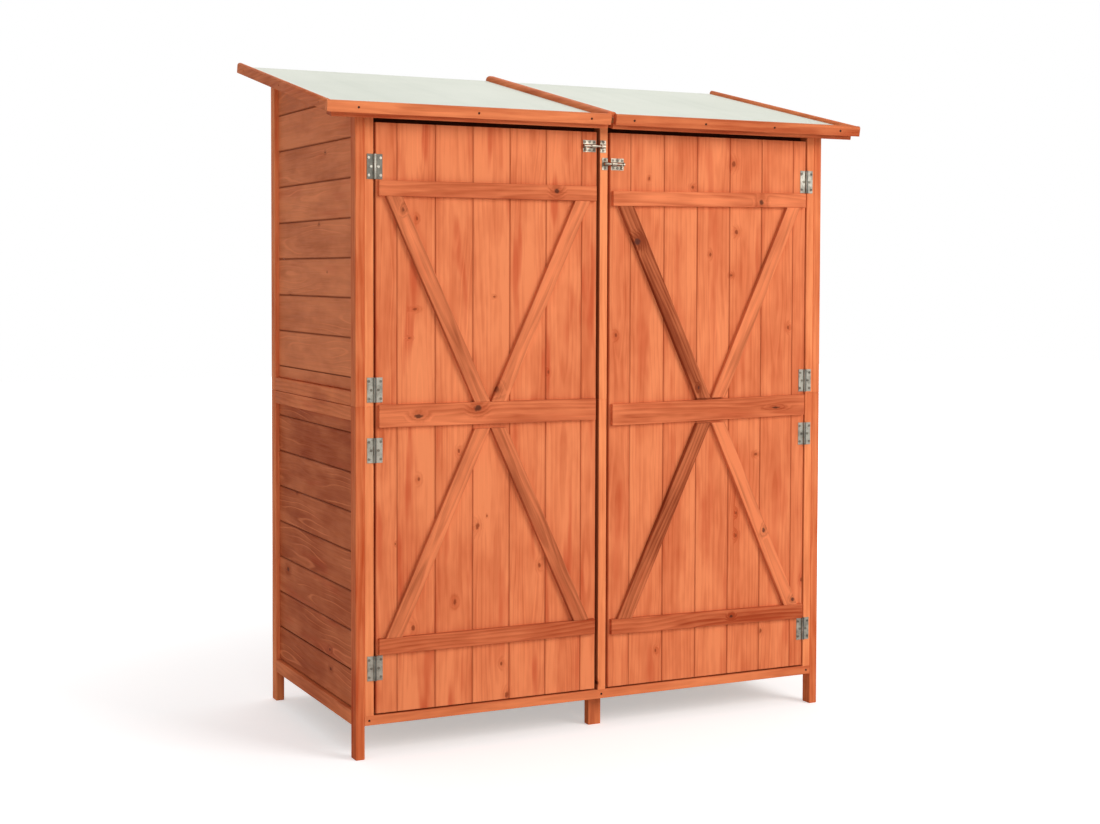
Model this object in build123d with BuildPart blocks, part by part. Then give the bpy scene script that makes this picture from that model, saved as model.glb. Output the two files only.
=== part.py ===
from build123d import *
import math
import os

# Garden shed on legs: two doors, a low front and a high back, millimetres.
# X runs along the front, Y to the back, Z up. The origin is under the middle of the whole shed.

# Timber sections
timber = 23.0
timber_width = 35.0
edge_ease = 1.5

# Body of the shed, over the outer faces of the corner posts
body_width = 1330.0
body_depth = 700.0

# Heights above the ground
sill_bottom = 82.0
frame_bottom = 80.0
module_joint = 856.0
eaves_height = 1578.0
joint_groove = 1.2

# Walls
siding_thickness = 12.0
siding_recess = 11.0
siding_pitch = 97.0
siding_first_seam = 67.0
groove_depth = 2.5
groove_width = 4.0
floor_thickness = 16.0
bearer_height = 35.0

# Roof, measured square to its slope from the top line of the barge boards
roof_pitch = 12.14
front_overhang = 74.0
left_overhang = 92.0
right_overhang = 76.0
edge_board_height = 27.0
edge_board_thickness = 16.0
edge_board_round = 7.0
sheet_drop = 10.0
sheet_thickness = 2.0
deck_thickness = 12.0
eaves_batten_height = 15.0
panel_gap = 14.0
cover_width = 32.0
cover_height = 14.0
cover_round = 12.0
cover_rear_reach = 5.0

# Doors
hinge_gap = 5.0
left_lock_gap = 9.0
right_lock_gap = 6.0
door_bottom_gap = 5.0
door_top_gap = 5.5
door_thickness = 14.0
door_board_pitch = 99.5
left_first_board = 54.0
right_first_board = 60.0
ledge_thickness = 12.0
ledge_inset = 5.0
top_ledge_height = 38.0
middle_ledge_height = 55.0
bottom_ledge_height = 39.0
top_ledge_bottom = 1362.0
middle_ledge_bottom = 805.0
bottom_ledge_bottom = 254.0
# The right door's ledges sit lower and a little out of level: lock end, then hinge end
right_top_drops = (11.0, 3.0)
right_middle_drops = (17.0, 7.5)
right_bottom_drops = (6.5, 13.0)
brace_width = 38.0
brace_end_inset = 17.0
brace_joint = 0.5
# Gaps between the braces and the middle ledge, above it and below it
left_brace_gaps = (0.0, 11.0)
right_brace_gaps = (4.0, 7.0)

# Door frame pieces behind the front face
centre_leg_shift = 9.0
splice_board_bottom = 705.0
splice_board_height = 252.0
splice_board_width = 90.0

# Butt hinges
hinge_height = 60.0
hinge_leaf_width = 17.0
hinge_leaf_thickness = 1.6
knuckle_radius = 3.6
pin_radius = 1.8
pin_clearance = 0.06
knuckle_gap = 0.4
knuckle_count = 3
left_hinge_heights = (1432.0, 896.0, 750.0, 221.0)
right_hinge_heights = (1428.5, 890.5, 745.5, 210.0)

# Barrel bolts
bolt_plate_length = 36.0
bolt_plate_height = 30.0
bolt_plate_thickness = 1.4
bolt_plate_inset = 3.0
bolt_radius = 2.8
bolt_clearance = 0.08
bolt_axis_height = 5.4
guide_radius = 4.8
long_guide = 14.0
short_guide = 4.0
stem_radius = 1.8
stem_length = 11.0
knob_radius = 2.8
knob_length = 4.0
knob_ease = 0.8
stem_play = 0.5
left_bolt_drop = 36.0
right_bolt_drop = 80.0
keeper_height = 31.0
keeper_width = 16.0
keeper_arch = 11.0
keeper_inset = 1.0
keeper_tip_gap = 1.0
keeper_clearance = 0.9
keeper_strap = 1.2

# Values worked out from the sizes above
slope_tan = math.tan(math.radians(roof_pitch))
slope_cos = math.cos(math.radians(roof_pitch))
slope_sin = math.sin(math.radians(roof_pitch))
roof_left = -left_overhang
roof_right = body_width + right_overhang
roof_middle = (roof_left + roof_right) / 2
# The whole shed is centred over the origin, over the rounded front edge and the leaning rear ends of the roof
roof_front = -front_overhang + edge_board_round * slope_sin
roof_back = body_depth + edge_board_height * slope_sin
shift_x = -roof_middle
shift_y = -(roof_front + roof_back) / 2
left = shift_x
right = shift_x + body_width
front = shift_y
back = shift_y + body_depth
post_back = front + timber_width
sill_top = sill_bottom + timber
slope_length = (body_depth + front_overhang) / slope_cos
deck_top_drop = sheet_drop + sheet_thickness
deck_bottom_drop = deck_top_drop + deck_thickness
batten_bottom_drop = deck_bottom_drop + eaves_batten_height
# Local roof coordinates: X along the eaves, Y up the slope, Z square to it, from the front top line
roof_plane = Plane(
    origin=(0, front - front_overhang, eaves_height),
    x_dir=(1, 0, 0),
    z_dir=(0, -slope_sin, slope_cos),
)


def under_roof(y):
    """Height of the underside of the roof deck at depth y."""
    return eaves_height + (y - front + front_overhang) * slope_tan - deck_bottom_drop / slope_cos


def block(x0, x1, y0, y1, z0, z1, mode=Mode.ADD):
    """A box between two corners, in the part being built."""
    with Locations(((x0 + x1) / 2, (y0 + y1) / 2, (z0 + z1) / 2)):
        Box(x1 - x0, y1 - y0, z1 - z0, mode=mode)


def finish(part, label):
    """Names a finished piece and writes it."""
    part.label = label
    export_step(part, "parts/" + label + ".step")


os.makedirs("parts", exist_ok=True)


# Corner posts, cut to the slope at the top, with a groove where the lower and upper halves meet
def corner_post(label, x0, y0):
    """One corner post, standing on the ground."""
    with BuildPart() as post:
        with BuildSketch(Plane.YZ.offset(x0)):
            with BuildLine():
                Polyline(
                    (y0, 0),
                    (y0 + timber_width, 0),
                    (y0 + timber_width, under_roof(y0 + timber_width)),
                    (y0, under_roof(y0)),
                    close=True,
                )
            make_face()
        extrude(amount=timber)
        chamfer(post.edges().filter_by(Axis.Z), edge_ease)
        chamfer(post.edges().group_by(Axis.Z)[0], edge_ease / 2)
        with BuildSketch(Plane.XY.offset(module_joint)):
            with Locations((x0 + timber / 2, y0 + timber_width / 2)):
                Rectangle(timber, timber_width)
                Rectangle(timber - 2 * joint_groove, timber_width - 2 * joint_groove, mode=Mode.SUBTRACT)
        extrude(amount=joint_groove / 2, both=True, mode=Mode.SUBTRACT)
    finish(post.part, label)


corner_post("front_left_post", left, front)
corner_post("front_right_post", right - timber, front)
corner_post("rear_left_post", left, back - timber_width)
corner_post("rear_right_post", right - timber, back - timber_width)

# Sill between the front posts, flush with their faces
with BuildPart() as sill:
    block(left + timber, right - timber, front, front + timber, sill_bottom, sill_top)
    chamfer(sill.edges().filter_by(Axis.X), edge_ease)
finish(sill.part, "sill")


# Upright stiles that the doors hang on and close against
def stile(label, x0):
    """One upright stile, from the sill up to the roof."""
    with BuildPart() as upright:
        with BuildSketch(Plane.YZ.offset(x0)):
            with BuildLine():
                Polyline(
                    (front, sill_top),
                    (post_back, sill_top),
                    (post_back, under_roof(post_back)),
                    (front, under_roof(front)),
                    close=True,
                )
            make_face()
        extrude(amount=timber)
        chamfer(upright.edges().filter_by(Axis.Z), edge_ease)
        with BuildSketch(Plane.XY.offset(module_joint)):
            with Locations((x0 + timber / 2, front + timber_width / 2)):
                Rectangle(timber, timber_width)
                Rectangle(timber - 2 * joint_groove, timber_width - 2 * joint_groove, mode=Mode.SUBTRACT)
        extrude(amount=joint_groove / 2, both=True, mode=Mode.SUBTRACT)
    finish(upright.part, label)


centre_stile_left = left + (body_width - timber) / 2
stile("left_hinge_stile", left + timber)
stile("right_hinge_stile", right - 2 * timber)
stile("centre_stile", centre_stile_left)

# Board that joins the two halves of the centre stile from behind
with BuildPart() as centre_splice_board:
    block(
        centre_stile_left + (timber - splice_board_width) / 2,
        centre_stile_left + (timber + splice_board_width) / 2,
        post_back,
        post_back + siding_thickness,
        splice_board_bottom,
        splice_board_bottom + splice_board_height,
    )
finish(centre_splice_board.part, "centre_splice_board")

# Side walls: rails flush with the posts, siding boards let in between them
top_of_lower_siding = module_joint - timber_width
bottom_of_upper_siding = module_joint + timber_width
frame_top = frame_bottom + timber_width


def side_rails(label, x0):
    """Bottom rail and the two rails that meet at the module joint."""
    with BuildPart() as rails:
        for z0 in (frame_bottom, module_joint - timber_width, module_joint + joint_groove / 2):
            block(x0, x0 + timber, post_back, back - timber_width, z0, z0 + timber_width - joint_groove / 2)
        chamfer(rails.edges().filter_by(Axis.Y), edge_ease)
    finish(rails.part, label)


def siding_seams(top):
    """Heights of the siding's board joints, up and down from the module joint."""
    seams = []
    z = module_joint + siding_first_seam
    while z < top:
        seams.append(z)
        z += siding_pitch
    z = module_joint - siding_first_seam
    while z > frame_top:
        seams.append(z)
        z -= siding_pitch
    return seams


def side_siding(label, x0, grooved_face):
    """Lower and upper siding of one side, with a groove at every board joint."""
    with BuildPart() as siding:
        for z0, z1_front, z1_back in (
            (frame_top, top_of_lower_siding, top_of_lower_siding),
            (bottom_of_upper_siding, under_roof(post_back), under_roof(back - timber_width)),
        ):
            with BuildSketch(Plane.YZ.offset(x0)):
                with BuildLine():
                    Polyline(
                        (post_back, z0),
                        (back - timber_width, z0),
                        (back - timber_width, z1_back),
                        (post_back, z1_front),
                        close=True,
                    )
                make_face()
            extrude(amount=siding_thickness)
        for z in siding_seams(under_roof(back - timber_width)):
            block(
                grooved_face - groove_depth,
                grooved_face + groove_depth,
                post_back,
                back - timber_width,
                z - groove_width / 2,
                z + groove_width / 2,
                mode=Mode.SUBTRACT,
            )
    finish(siding.part, label)


side_rails("left_side_rails", left)
side_rails("right_side_rails", right - timber)
side_siding("left_siding", left + siding_recess, left + siding_recess)
side_siding("right_siding", right - siding_recess - siding_thickness, right - siding_recess)

# Back wall, framed like the sides
with BuildPart() as back_rails:
    for z0 in (frame_bottom, module_joint - timber_width, module_joint + joint_groove / 2):
        block(
            left + timber,
            right - timber,
            back - timber,
            back,
            z0,
            z0 + timber_width - joint_groove / 2,
        )
    chamfer(back_rails.edges().filter_by(Axis.X), edge_ease)
finish(back_rails.part, "back_rails")

back_siding_front = back - siding_recess - siding_thickness
back_wall_top = under_roof(back_siding_front)
with BuildPart() as back_siding:
    for z0, z1 in ((frame_top, top_of_lower_siding), (bottom_of_upper_siding, back_wall_top)):
        block(left + timber, right - timber, back_siding_front, back_siding_front + siding_thickness, z0, z1)
    for z in siding_seams(back_wall_top):
        block(
            left + timber,
            right - timber,
            back - siding_recess - groove_depth,
            back - siding_recess + groove_depth,
            z - groove_width / 2,
            z + groove_width / 2,
            mode=Mode.SUBTRACT,
        )
finish(back_siding.part, "back_siding")

# Floor boards on bearers that run from side to side
floor_bottom = frame_top
bearer_depths = (
    post_back + timber,
    front + (body_depth - timber) / 2,
    back - timber_width - timber,
)
with BuildPart() as floor_bearers:
    for y0 in bearer_depths:
        block(
            left + timber,
            right - timber,
            y0,
            y0 + timber,
            floor_bottom - bearer_height,
            floor_bottom,
        )
finish(floor_bearers.part, "floor_bearers")

with BuildPart() as floor_boards:
    block(
        left + timber,
        right - timber,
        post_back,
        back_siding_front,
        floor_bottom,
        floor_bottom + floor_thickness,
    )
finish(floor_boards.part, "floor_boards")

# Short leg under the first bearer, a little to the right of the middle
centre_leg_left = centre_stile_left + timber / 2 - timber_width / 2 + centre_leg_shift
centre_leg_front = post_back + timber
with BuildPart() as centre_leg:
    block(
        centre_leg_left,
        centre_leg_left + timber_width,
        centre_leg_front,
        centre_leg_front + timber,
        0,
        floor_bottom - bearer_height,
    )
    chamfer(centre_leg.edges().group_by(Axis.Z)[0], edge_ease / 2)
finish(centre_leg.part, "centre_leg")

# Rail behind the door tops, which ties the side walls together and stops the doors
door_back = front + door_thickness
door_bottom = sill_top + door_bottom_gap
door_top = (
    eaves_height
    - batten_bottom_drop * slope_cos
    + edge_board_thickness * slope_sin
    - door_top_gap
)
top_rail_front = post_back
with BuildPart() as front_top_rail:
    block(
        left + timber,
        right - timber,
        top_rail_front,
        top_rail_front + timber,
        door_top - timber_width,
        under_roof(top_rail_front),
    )
finish(front_top_rail.part, "front_top_rail")


# Roof: two panels of deck and sheet, side by side, with edge boards that stand above the sheet
panel_spans = {
    "left": (left - left_overhang, -panel_gap / 2),
    "right": (panel_gap / 2, right + right_overhang),
}
for side, (x0, x1) in panel_spans.items():
    inner_x0 = x0 + (edge_board_thickness if side == "left" else 0)
    inner_x1 = x1 - (edge_board_thickness if side == "right" else 0)
    with BuildPart() as deck:
        with BuildSketch(roof_plane.offset(-deck_bottom_drop)):
            with Locations(((inner_x0 + inner_x1) / 2, (edge_board_thickness + slope_length) / 2)):
                Rectangle(inner_x1 - inner_x0, slope_length - edge_board_thickness)
        extrude(amount=deck_thickness)
    finish(deck.part, side + "_roof_deck")

    with BuildPart() as sheet:
        with BuildSketch(roof_plane.offset(-deck_top_drop)):
            with Locations(((inner_x0 + inner_x1) / 2, (edge_board_thickness + slope_length) / 2)):
                Rectangle(inner_x1 - inner_x0, slope_length - edge_board_thickness)
        extrude(amount=sheet_thickness)
    finish(sheet.part, side + "_roof_sheet")

    with BuildPart() as fascia:
        with BuildSketch(roof_plane.offset(-edge_board_height)):
            with Locations(((x0 + x1) / 2, edge_board_thickness / 2)):
                Rectangle(x1 - x0, edge_board_thickness)
        extrude(amount=edge_board_height)
        upper = fascia.edges().filter_by(Axis.X).sort_by(Axis.Z)[-2:]
        fillet(upper, edge_board_round)
    finish(fascia.part, side + "_fascia")

    barge_x0 = x0 if side == "left" else x1 - edge_board_thickness
    with BuildPart() as barge:
        with BuildSketch(roof_plane.offset(-edge_board_height)):
            with Locations((barge_x0 + edge_board_thickness / 2, (edge_board_thickness + slope_length) / 2)):
                Rectangle(edge_board_thickness, slope_length - edge_board_thickness)
        extrude(amount=edge_board_height)
        along = [e for e in barge.edges() if e.length > slope_length / 2]
        upper = ShapeList(along).sort_by(Axis.Z)[-2:]
        fillet(upper, edge_board_round)
    finish(barge.part, side + "_barge_board")

# Rounded batten over the joint between the two panels
with BuildPart() as cover_batten:
    with BuildSketch(roof_plane.offset(-sheet_drop)):
        with Locations((0, (edge_board_thickness + slope_length + cover_rear_reach) / 2)):
            Rectangle(cover_width, slope_length + cover_rear_reach - edge_board_thickness)
    extrude(amount=cover_height)
    along = [e for e in cover_batten.edges() if e.length > slope_length / 2]
    upper = ShapeList(along).sort_by(Axis.Z)[-2:]
    fillet(upper, cover_round)
finish(cover_batten.part, "cover_batten")

# Battens under the front of the deck, seen as a dark band below the fascia
with BuildPart() as eaves_battens:
    for x0, x1 in ((left - left_overhang + edge_board_thickness, -panel_gap / 2),
                   (panel_gap / 2, right + right_overhang - edge_board_thickness)):
        with BuildSketch(roof_plane.offset(-batten_bottom_drop)):
            with Locations(((x0 + x1) / 2, edge_board_thickness + timber_width / 2)):
                Rectangle(x1 - x0, timber_width)
        extrude(amount=eaves_batten_height)
finish(eaves_battens.part, "eaves_battens")


# Doors: boards, three ledges and four braces each
def door(side, x0, x1, first_board, drops, brace_gaps):
    """Boards, ledges and braces of the door between x0 and x1; drops are the ledges', bottom to top."""
    with BuildPart() as boards:
        block(x0, x1, front, door_back, door_bottom, door_top)
        x = x0 + first_board
        while x < x1 - groove_width:
            block(
                x - groove_width / 2,
                x + groove_width / 2,
                front - groove_depth,
                front + groove_depth,
                door_bottom,
                door_top,
                mode=Mode.SUBTRACT,
            )
            x += door_board_pitch
    finish(boards.part, side + "_door_boards")

    ledge_left = x0 + ledge_inset
    ledge_right = x1 - ledge_inset
    bottom_drops, middle_drops, top_drops = drops

    def edge(z, ends, x):
        """Height at x of a ledge's edge, which sits lower by ends[0] at the left and ends[1] at the right."""
        share = (x - ledge_left) / (ledge_right - ledge_left)
        return z - ends[0] * (1 - share) - ends[1] * share

    with BuildPart() as ledge_set:
        for z0, height, ends in (
            (bottom_ledge_bottom, bottom_ledge_height, bottom_drops),
            (middle_ledge_bottom, middle_ledge_height, middle_drops),
            (top_ledge_bottom, top_ledge_height, top_drops),
        ):
            with BuildSketch(Plane.XZ.offset(-front)):
                with BuildLine():
                    Polyline(
                        (ledge_left, edge(z0, ends, ledge_left)),
                        (ledge_right, edge(z0, ends, ledge_right)),
                        (ledge_right, edge(z0 + height, ends, ledge_right)),
                        (ledge_left, edge(z0 + height, ends, ledge_left)),
                        close=True,
                    )
                make_face()
            extrude(amount=ledge_thickness)
        face_edges = ledge_set.edges().group_by(Axis.Y)[0]
        chamfer([e for e in face_edges if e.length > middle_ledge_height * 2], edge_ease)
    finish(ledge_set.part, side + "_door_ledges")

    middle = (x0 + x1) / 2
    above, below = brace_gaps
    upper_inner = middle_ledge_bottom + middle_ledge_height + above
    lower_outer = bottom_ledge_bottom + bottom_ledge_height
    upper_lines = ((top_ledge_bottom, top_drops), (upper_inner, middle_drops))
    lower_lines = ((lower_outer, bottom_drops), (middle_ledge_bottom - below, middle_drops))
    with BuildPart() as braces:
        for outer_line, inner_line in (upper_lines, lower_lines):
            for outer, sign in ((ledge_left + brace_end_inset, 1), (ledge_right - brace_end_inset, -1)):
                rise = abs(outer_line[0] - inner_line[0])
                run = abs(middle - outer)
                cut = brace_width / math.cos(math.atan2(run, rise))
                tip = middle - sign * brace_joint
                with BuildSketch(Plane.XZ.offset(-front)):
                    with BuildLine():
                        Polyline(
                            (outer, edge(*outer_line, outer)),
                            (outer + sign * cut, edge(*outer_line, outer + sign * cut)),
                            (tip, edge(*inner_line, tip)),
                            (tip - sign * cut, edge(*inner_line, tip - sign * cut)),
                            close=True,
                        )
                    make_face()
                extrude(amount=ledge_thickness)
    finish(braces.part, side + "_door_braces")


left_door_x0 = left + 2 * timber + hinge_gap
left_door_x1 = centre_stile_left - left_lock_gap
right_door_x0 = centre_stile_left + timber + right_lock_gap
right_door_x1 = right - 2 * timber - hinge_gap
level = (0.0, 0.0)
door("left", left_door_x0, left_door_x1, left_first_board, (level, level, level), left_brace_gaps)
door(
    "right",
    right_door_x0,
    right_door_x1,
    right_first_board,
    (right_bottom_drops, right_middle_drops, right_top_drops),
    right_brace_gaps,
)

# Butt hinges: the frame leaf carries the pin and the odd knuckles, the door leaf the even ones
hinge_axis_y = front - knuckle_radius
knuckle_length = (hinge_height - (knuckle_count - 1) * knuckle_gap) / knuckle_count
left_axis_x = left_door_x0 - hinge_gap / 2
right_axis_x = right_door_x1 + hinge_gap / 2


def hinge_leaf(axis_x, toward, z, first_knuckle):
    """Adds one leaf and its knuckles to the part being built; toward is the side that the leaf lies on."""
    reach = hinge_leaf_width + hinge_gap / 2
    x_far = axis_x + toward * reach
    block(
        min(axis_x, x_far),
        max(axis_x, x_far),
        front - hinge_leaf_thickness,
        front,
        z - hinge_height / 2,
        z + hinge_height / 2,
    )
    for number in range(knuckle_count):
        z0 = z - hinge_height / 2 + number * (knuckle_length + knuckle_gap)
        if number % 2 == first_knuckle:
            with Locations((axis_x, hinge_axis_y, z0 + knuckle_length / 2)):
                Cylinder(knuckle_radius, knuckle_length)
        else:
            block(
                axis_x - knuckle_radius - knuckle_gap,
                axis_x + knuckle_radius + knuckle_gap,
                hinge_axis_y - knuckle_radius,
                front,
                z0 - knuckle_gap,
                z0 + knuckle_length + knuckle_gap,
                mode=Mode.SUBTRACT,
            )


for side, axis_x, toward_door, hinge_heights in (
    ("left", left_axis_x, 1, left_hinge_heights),
    ("right", right_axis_x, -1, right_hinge_heights),
):
    with BuildPart() as frame_leaves:
        for z in hinge_heights:
            hinge_leaf(axis_x, -toward_door, z, 0)
            with Locations((axis_x, hinge_axis_y, z)):
                Cylinder(pin_radius, hinge_height)
    finish(frame_leaves.part, side + "_frame_hinges")

    with BuildPart() as door_leaves:
        for z in hinge_heights:
            hinge_leaf(axis_x, toward_door, z, 1)
            with Locations((axis_x, hinge_axis_y, z)):
                Cylinder(pin_radius + pin_clearance, hinge_height, mode=Mode.SUBTRACT)
    finish(door_leaves.part, side + "_door_hinges")


# Barrel bolts: a plate with two guides on the door, a sliding rod with a knob, and a keeper on the stile
def barrel_bolt(side, door_edge, stile_edge, sign, z):
    """Plate, rod and keeper of one bolt; sign is the way that the rod is shot along X."""
    axis_y = front - bolt_axis_height
    plate_end = door_edge - sign * bolt_plate_inset
    plate_start = plate_end - sign * bolt_plate_length
    arch_start = stile_edge + sign * keeper_inset

    def span(a, b):
        """Both ends of a length along X, lowest first."""
        return min(a, b), max(a, b)

    def guide(a, b, radius, bore):
        """A pressed guide round the rod, from a to b along X, in the part being built."""
        x0, x1 = span(a, b)
        with Locations(Location(((x0 + x1) / 2, axis_y, z), (0, 90, 0))):
            Cylinder(radius, x1 - x0)
        block(x0, x1, axis_y, front, z - radius, z + radius)
        with Locations(Location(((x0 + x1) / 2, axis_y, z), (0, 90, 0))):
            Cylinder(bore, x1 - x0 + 2, mode=Mode.SUBTRACT)

    with BuildPart() as plate:
        x0, x1 = span(plate_start, plate_end)
        block(x0, x1, front - bolt_plate_thickness, front, z - bolt_plate_height / 2, z + bolt_plate_height / 2)
        window_start = plate_start + sign * short_guide
        window_end = plate_end - sign * long_guide
        x0, x1 = span(window_start, window_end)
        block(
            x0 + stem_play,
            x1 - stem_play,
            front - bolt_plate_thickness,
            front,
            z - guide_radius,
            z + guide_radius,
            mode=Mode.SUBTRACT,
        )
        guide(plate_start, window_start, guide_radius, bolt_radius + bolt_clearance)
        guide(window_end, plate_end, guide_radius, bolt_radius + bolt_clearance)
    finish(plate.part, side + "_bolt_plate")

    with BuildPart() as rod:
        tip = arch_start - sign * keeper_tip_gap
        x0, x1 = span(plate_start, tip)
        with Locations(Location(((x0 + x1) / 2, axis_y, z), (0, 90, 0))):
            Cylinder(bolt_radius, x1 - x0)
        stem_x = plate_start + sign * (short_guide + stem_play + stem_radius)
        with Locations((stem_x, axis_y, z - stem_length / 2)):
            Cylinder(stem_radius, stem_length)
        with Locations((stem_x, axis_y, z - stem_length)):
            Cylinder(knob_radius, knob_length)
        chamfer(rod.edges().filter_by(GeomType.CIRCLE).group_by(Axis.Z)[0], knob_ease)
    finish(rod.part, side + "_bolt")

    keeper_bore = bolt_radius + keeper_clearance
    with BuildPart() as keeper:
        x0, x1 = span(arch_start, arch_start + sign * keeper_width)
        block(x0, x1, front - bolt_plate_thickness, front, z - keeper_height / 2, z + keeper_height / 2)
        arch_end = arch_start + sign * keeper_arch
        guide(arch_start, arch_end, keeper_bore + keeper_strap, keeper_bore)
        x0, x1 = span(arch_start, arch_end)
        block(x0, x1, axis_y, front, z - keeper_bore, z + keeper_bore, mode=Mode.SUBTRACT)
    finish(keeper.part, side + "_keeper")


barrel_bolt("left", left_door_x1, centre_stile_left, 1, door_top - left_bolt_drop)
barrel_bolt("right", right_door_x0, centre_stile_left + timber, -1, door_top - right_bolt_drop)
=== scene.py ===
"""Looks of the garden shed: boards, doors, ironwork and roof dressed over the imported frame."""
import logging
import math
import random
from dataclasses import dataclass, field, replace
from enum import Enum
from typing import Callable, Iterable, Sequence

import bpy
import numpy as np
from mathutils import Matrix, Vector

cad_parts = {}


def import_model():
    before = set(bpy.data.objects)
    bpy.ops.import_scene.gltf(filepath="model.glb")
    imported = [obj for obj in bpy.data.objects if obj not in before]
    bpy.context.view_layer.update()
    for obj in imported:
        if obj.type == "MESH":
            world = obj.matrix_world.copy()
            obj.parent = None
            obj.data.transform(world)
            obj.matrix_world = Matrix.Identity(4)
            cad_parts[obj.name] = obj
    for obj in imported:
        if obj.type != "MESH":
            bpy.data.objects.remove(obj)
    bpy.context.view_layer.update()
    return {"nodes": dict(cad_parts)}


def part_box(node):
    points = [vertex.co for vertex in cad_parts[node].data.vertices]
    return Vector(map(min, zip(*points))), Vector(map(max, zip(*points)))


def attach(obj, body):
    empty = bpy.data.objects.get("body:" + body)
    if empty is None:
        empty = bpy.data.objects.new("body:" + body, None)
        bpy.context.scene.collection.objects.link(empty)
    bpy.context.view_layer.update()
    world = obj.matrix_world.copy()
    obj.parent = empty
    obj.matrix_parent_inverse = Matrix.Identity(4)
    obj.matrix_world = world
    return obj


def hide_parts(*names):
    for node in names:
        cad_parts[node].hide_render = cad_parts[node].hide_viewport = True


log = logging.getLogger("shed")
Colour = tuple[float, float, float]
Piece = bpy.types.Object
Material = bpy.types.Material
Socket = bpy.types.NodeSocket

ROOF_PITCH = math.radians(12.14)
# Height in metres at which the lower and the upper module of the shed meet
MODULE_JOINT = 0.856
# Two places nearer to each other than this are the same place
SAME = 1e-5
# A strip of board narrower than this isn't laid
NARROWEST = 0.004


def srgb(red: int, green: int, blue: int) -> Colour:
    """Turns screen values of 0 to 255 into the linear colour that a shader takes.

    Args:
        red: Red as seen on a screen.
        green: Green as seen on a screen.
        blue: Blue as seen on a screen.

    Returns:
        The same colour in linear light.
    """
    values = []
    for value in (red, green, blue):
        share = value / 255
        values.append(share / 12.92 if share <= 0.04045 else ((share + 0.055) / 1.055) ** 2.4)
    return (values[0], values[1], values[2])


class Run(Enum):
    """Which way the grain of a piece runs, as its length, width and thickness axes."""

    UPRIGHT = ("Z", "X", "Y")
    UPRIGHT_SIDE = ("Z", "Y", "X")
    ALONG_FRONT = ("X", "Z", "Y")
    ALONG_SIDE = ("Y", "Z", "X")
    LYING = ("X", "Y", "Z")
    LYING_DEEP = ("Y", "X", "Z")

    def axes(self) -> tuple[Vector, Vector, Vector]:
        """Returns the unit vectors along the grain, across it and through the thickness."""
        units = {"X": Vector((1, 0, 0)), "Y": Vector((0, 1, 0)), "Z": Vector((0, 0, 1))}
        return units[self.value[0]], units[self.value[1]], units[self.value[2]]


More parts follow.
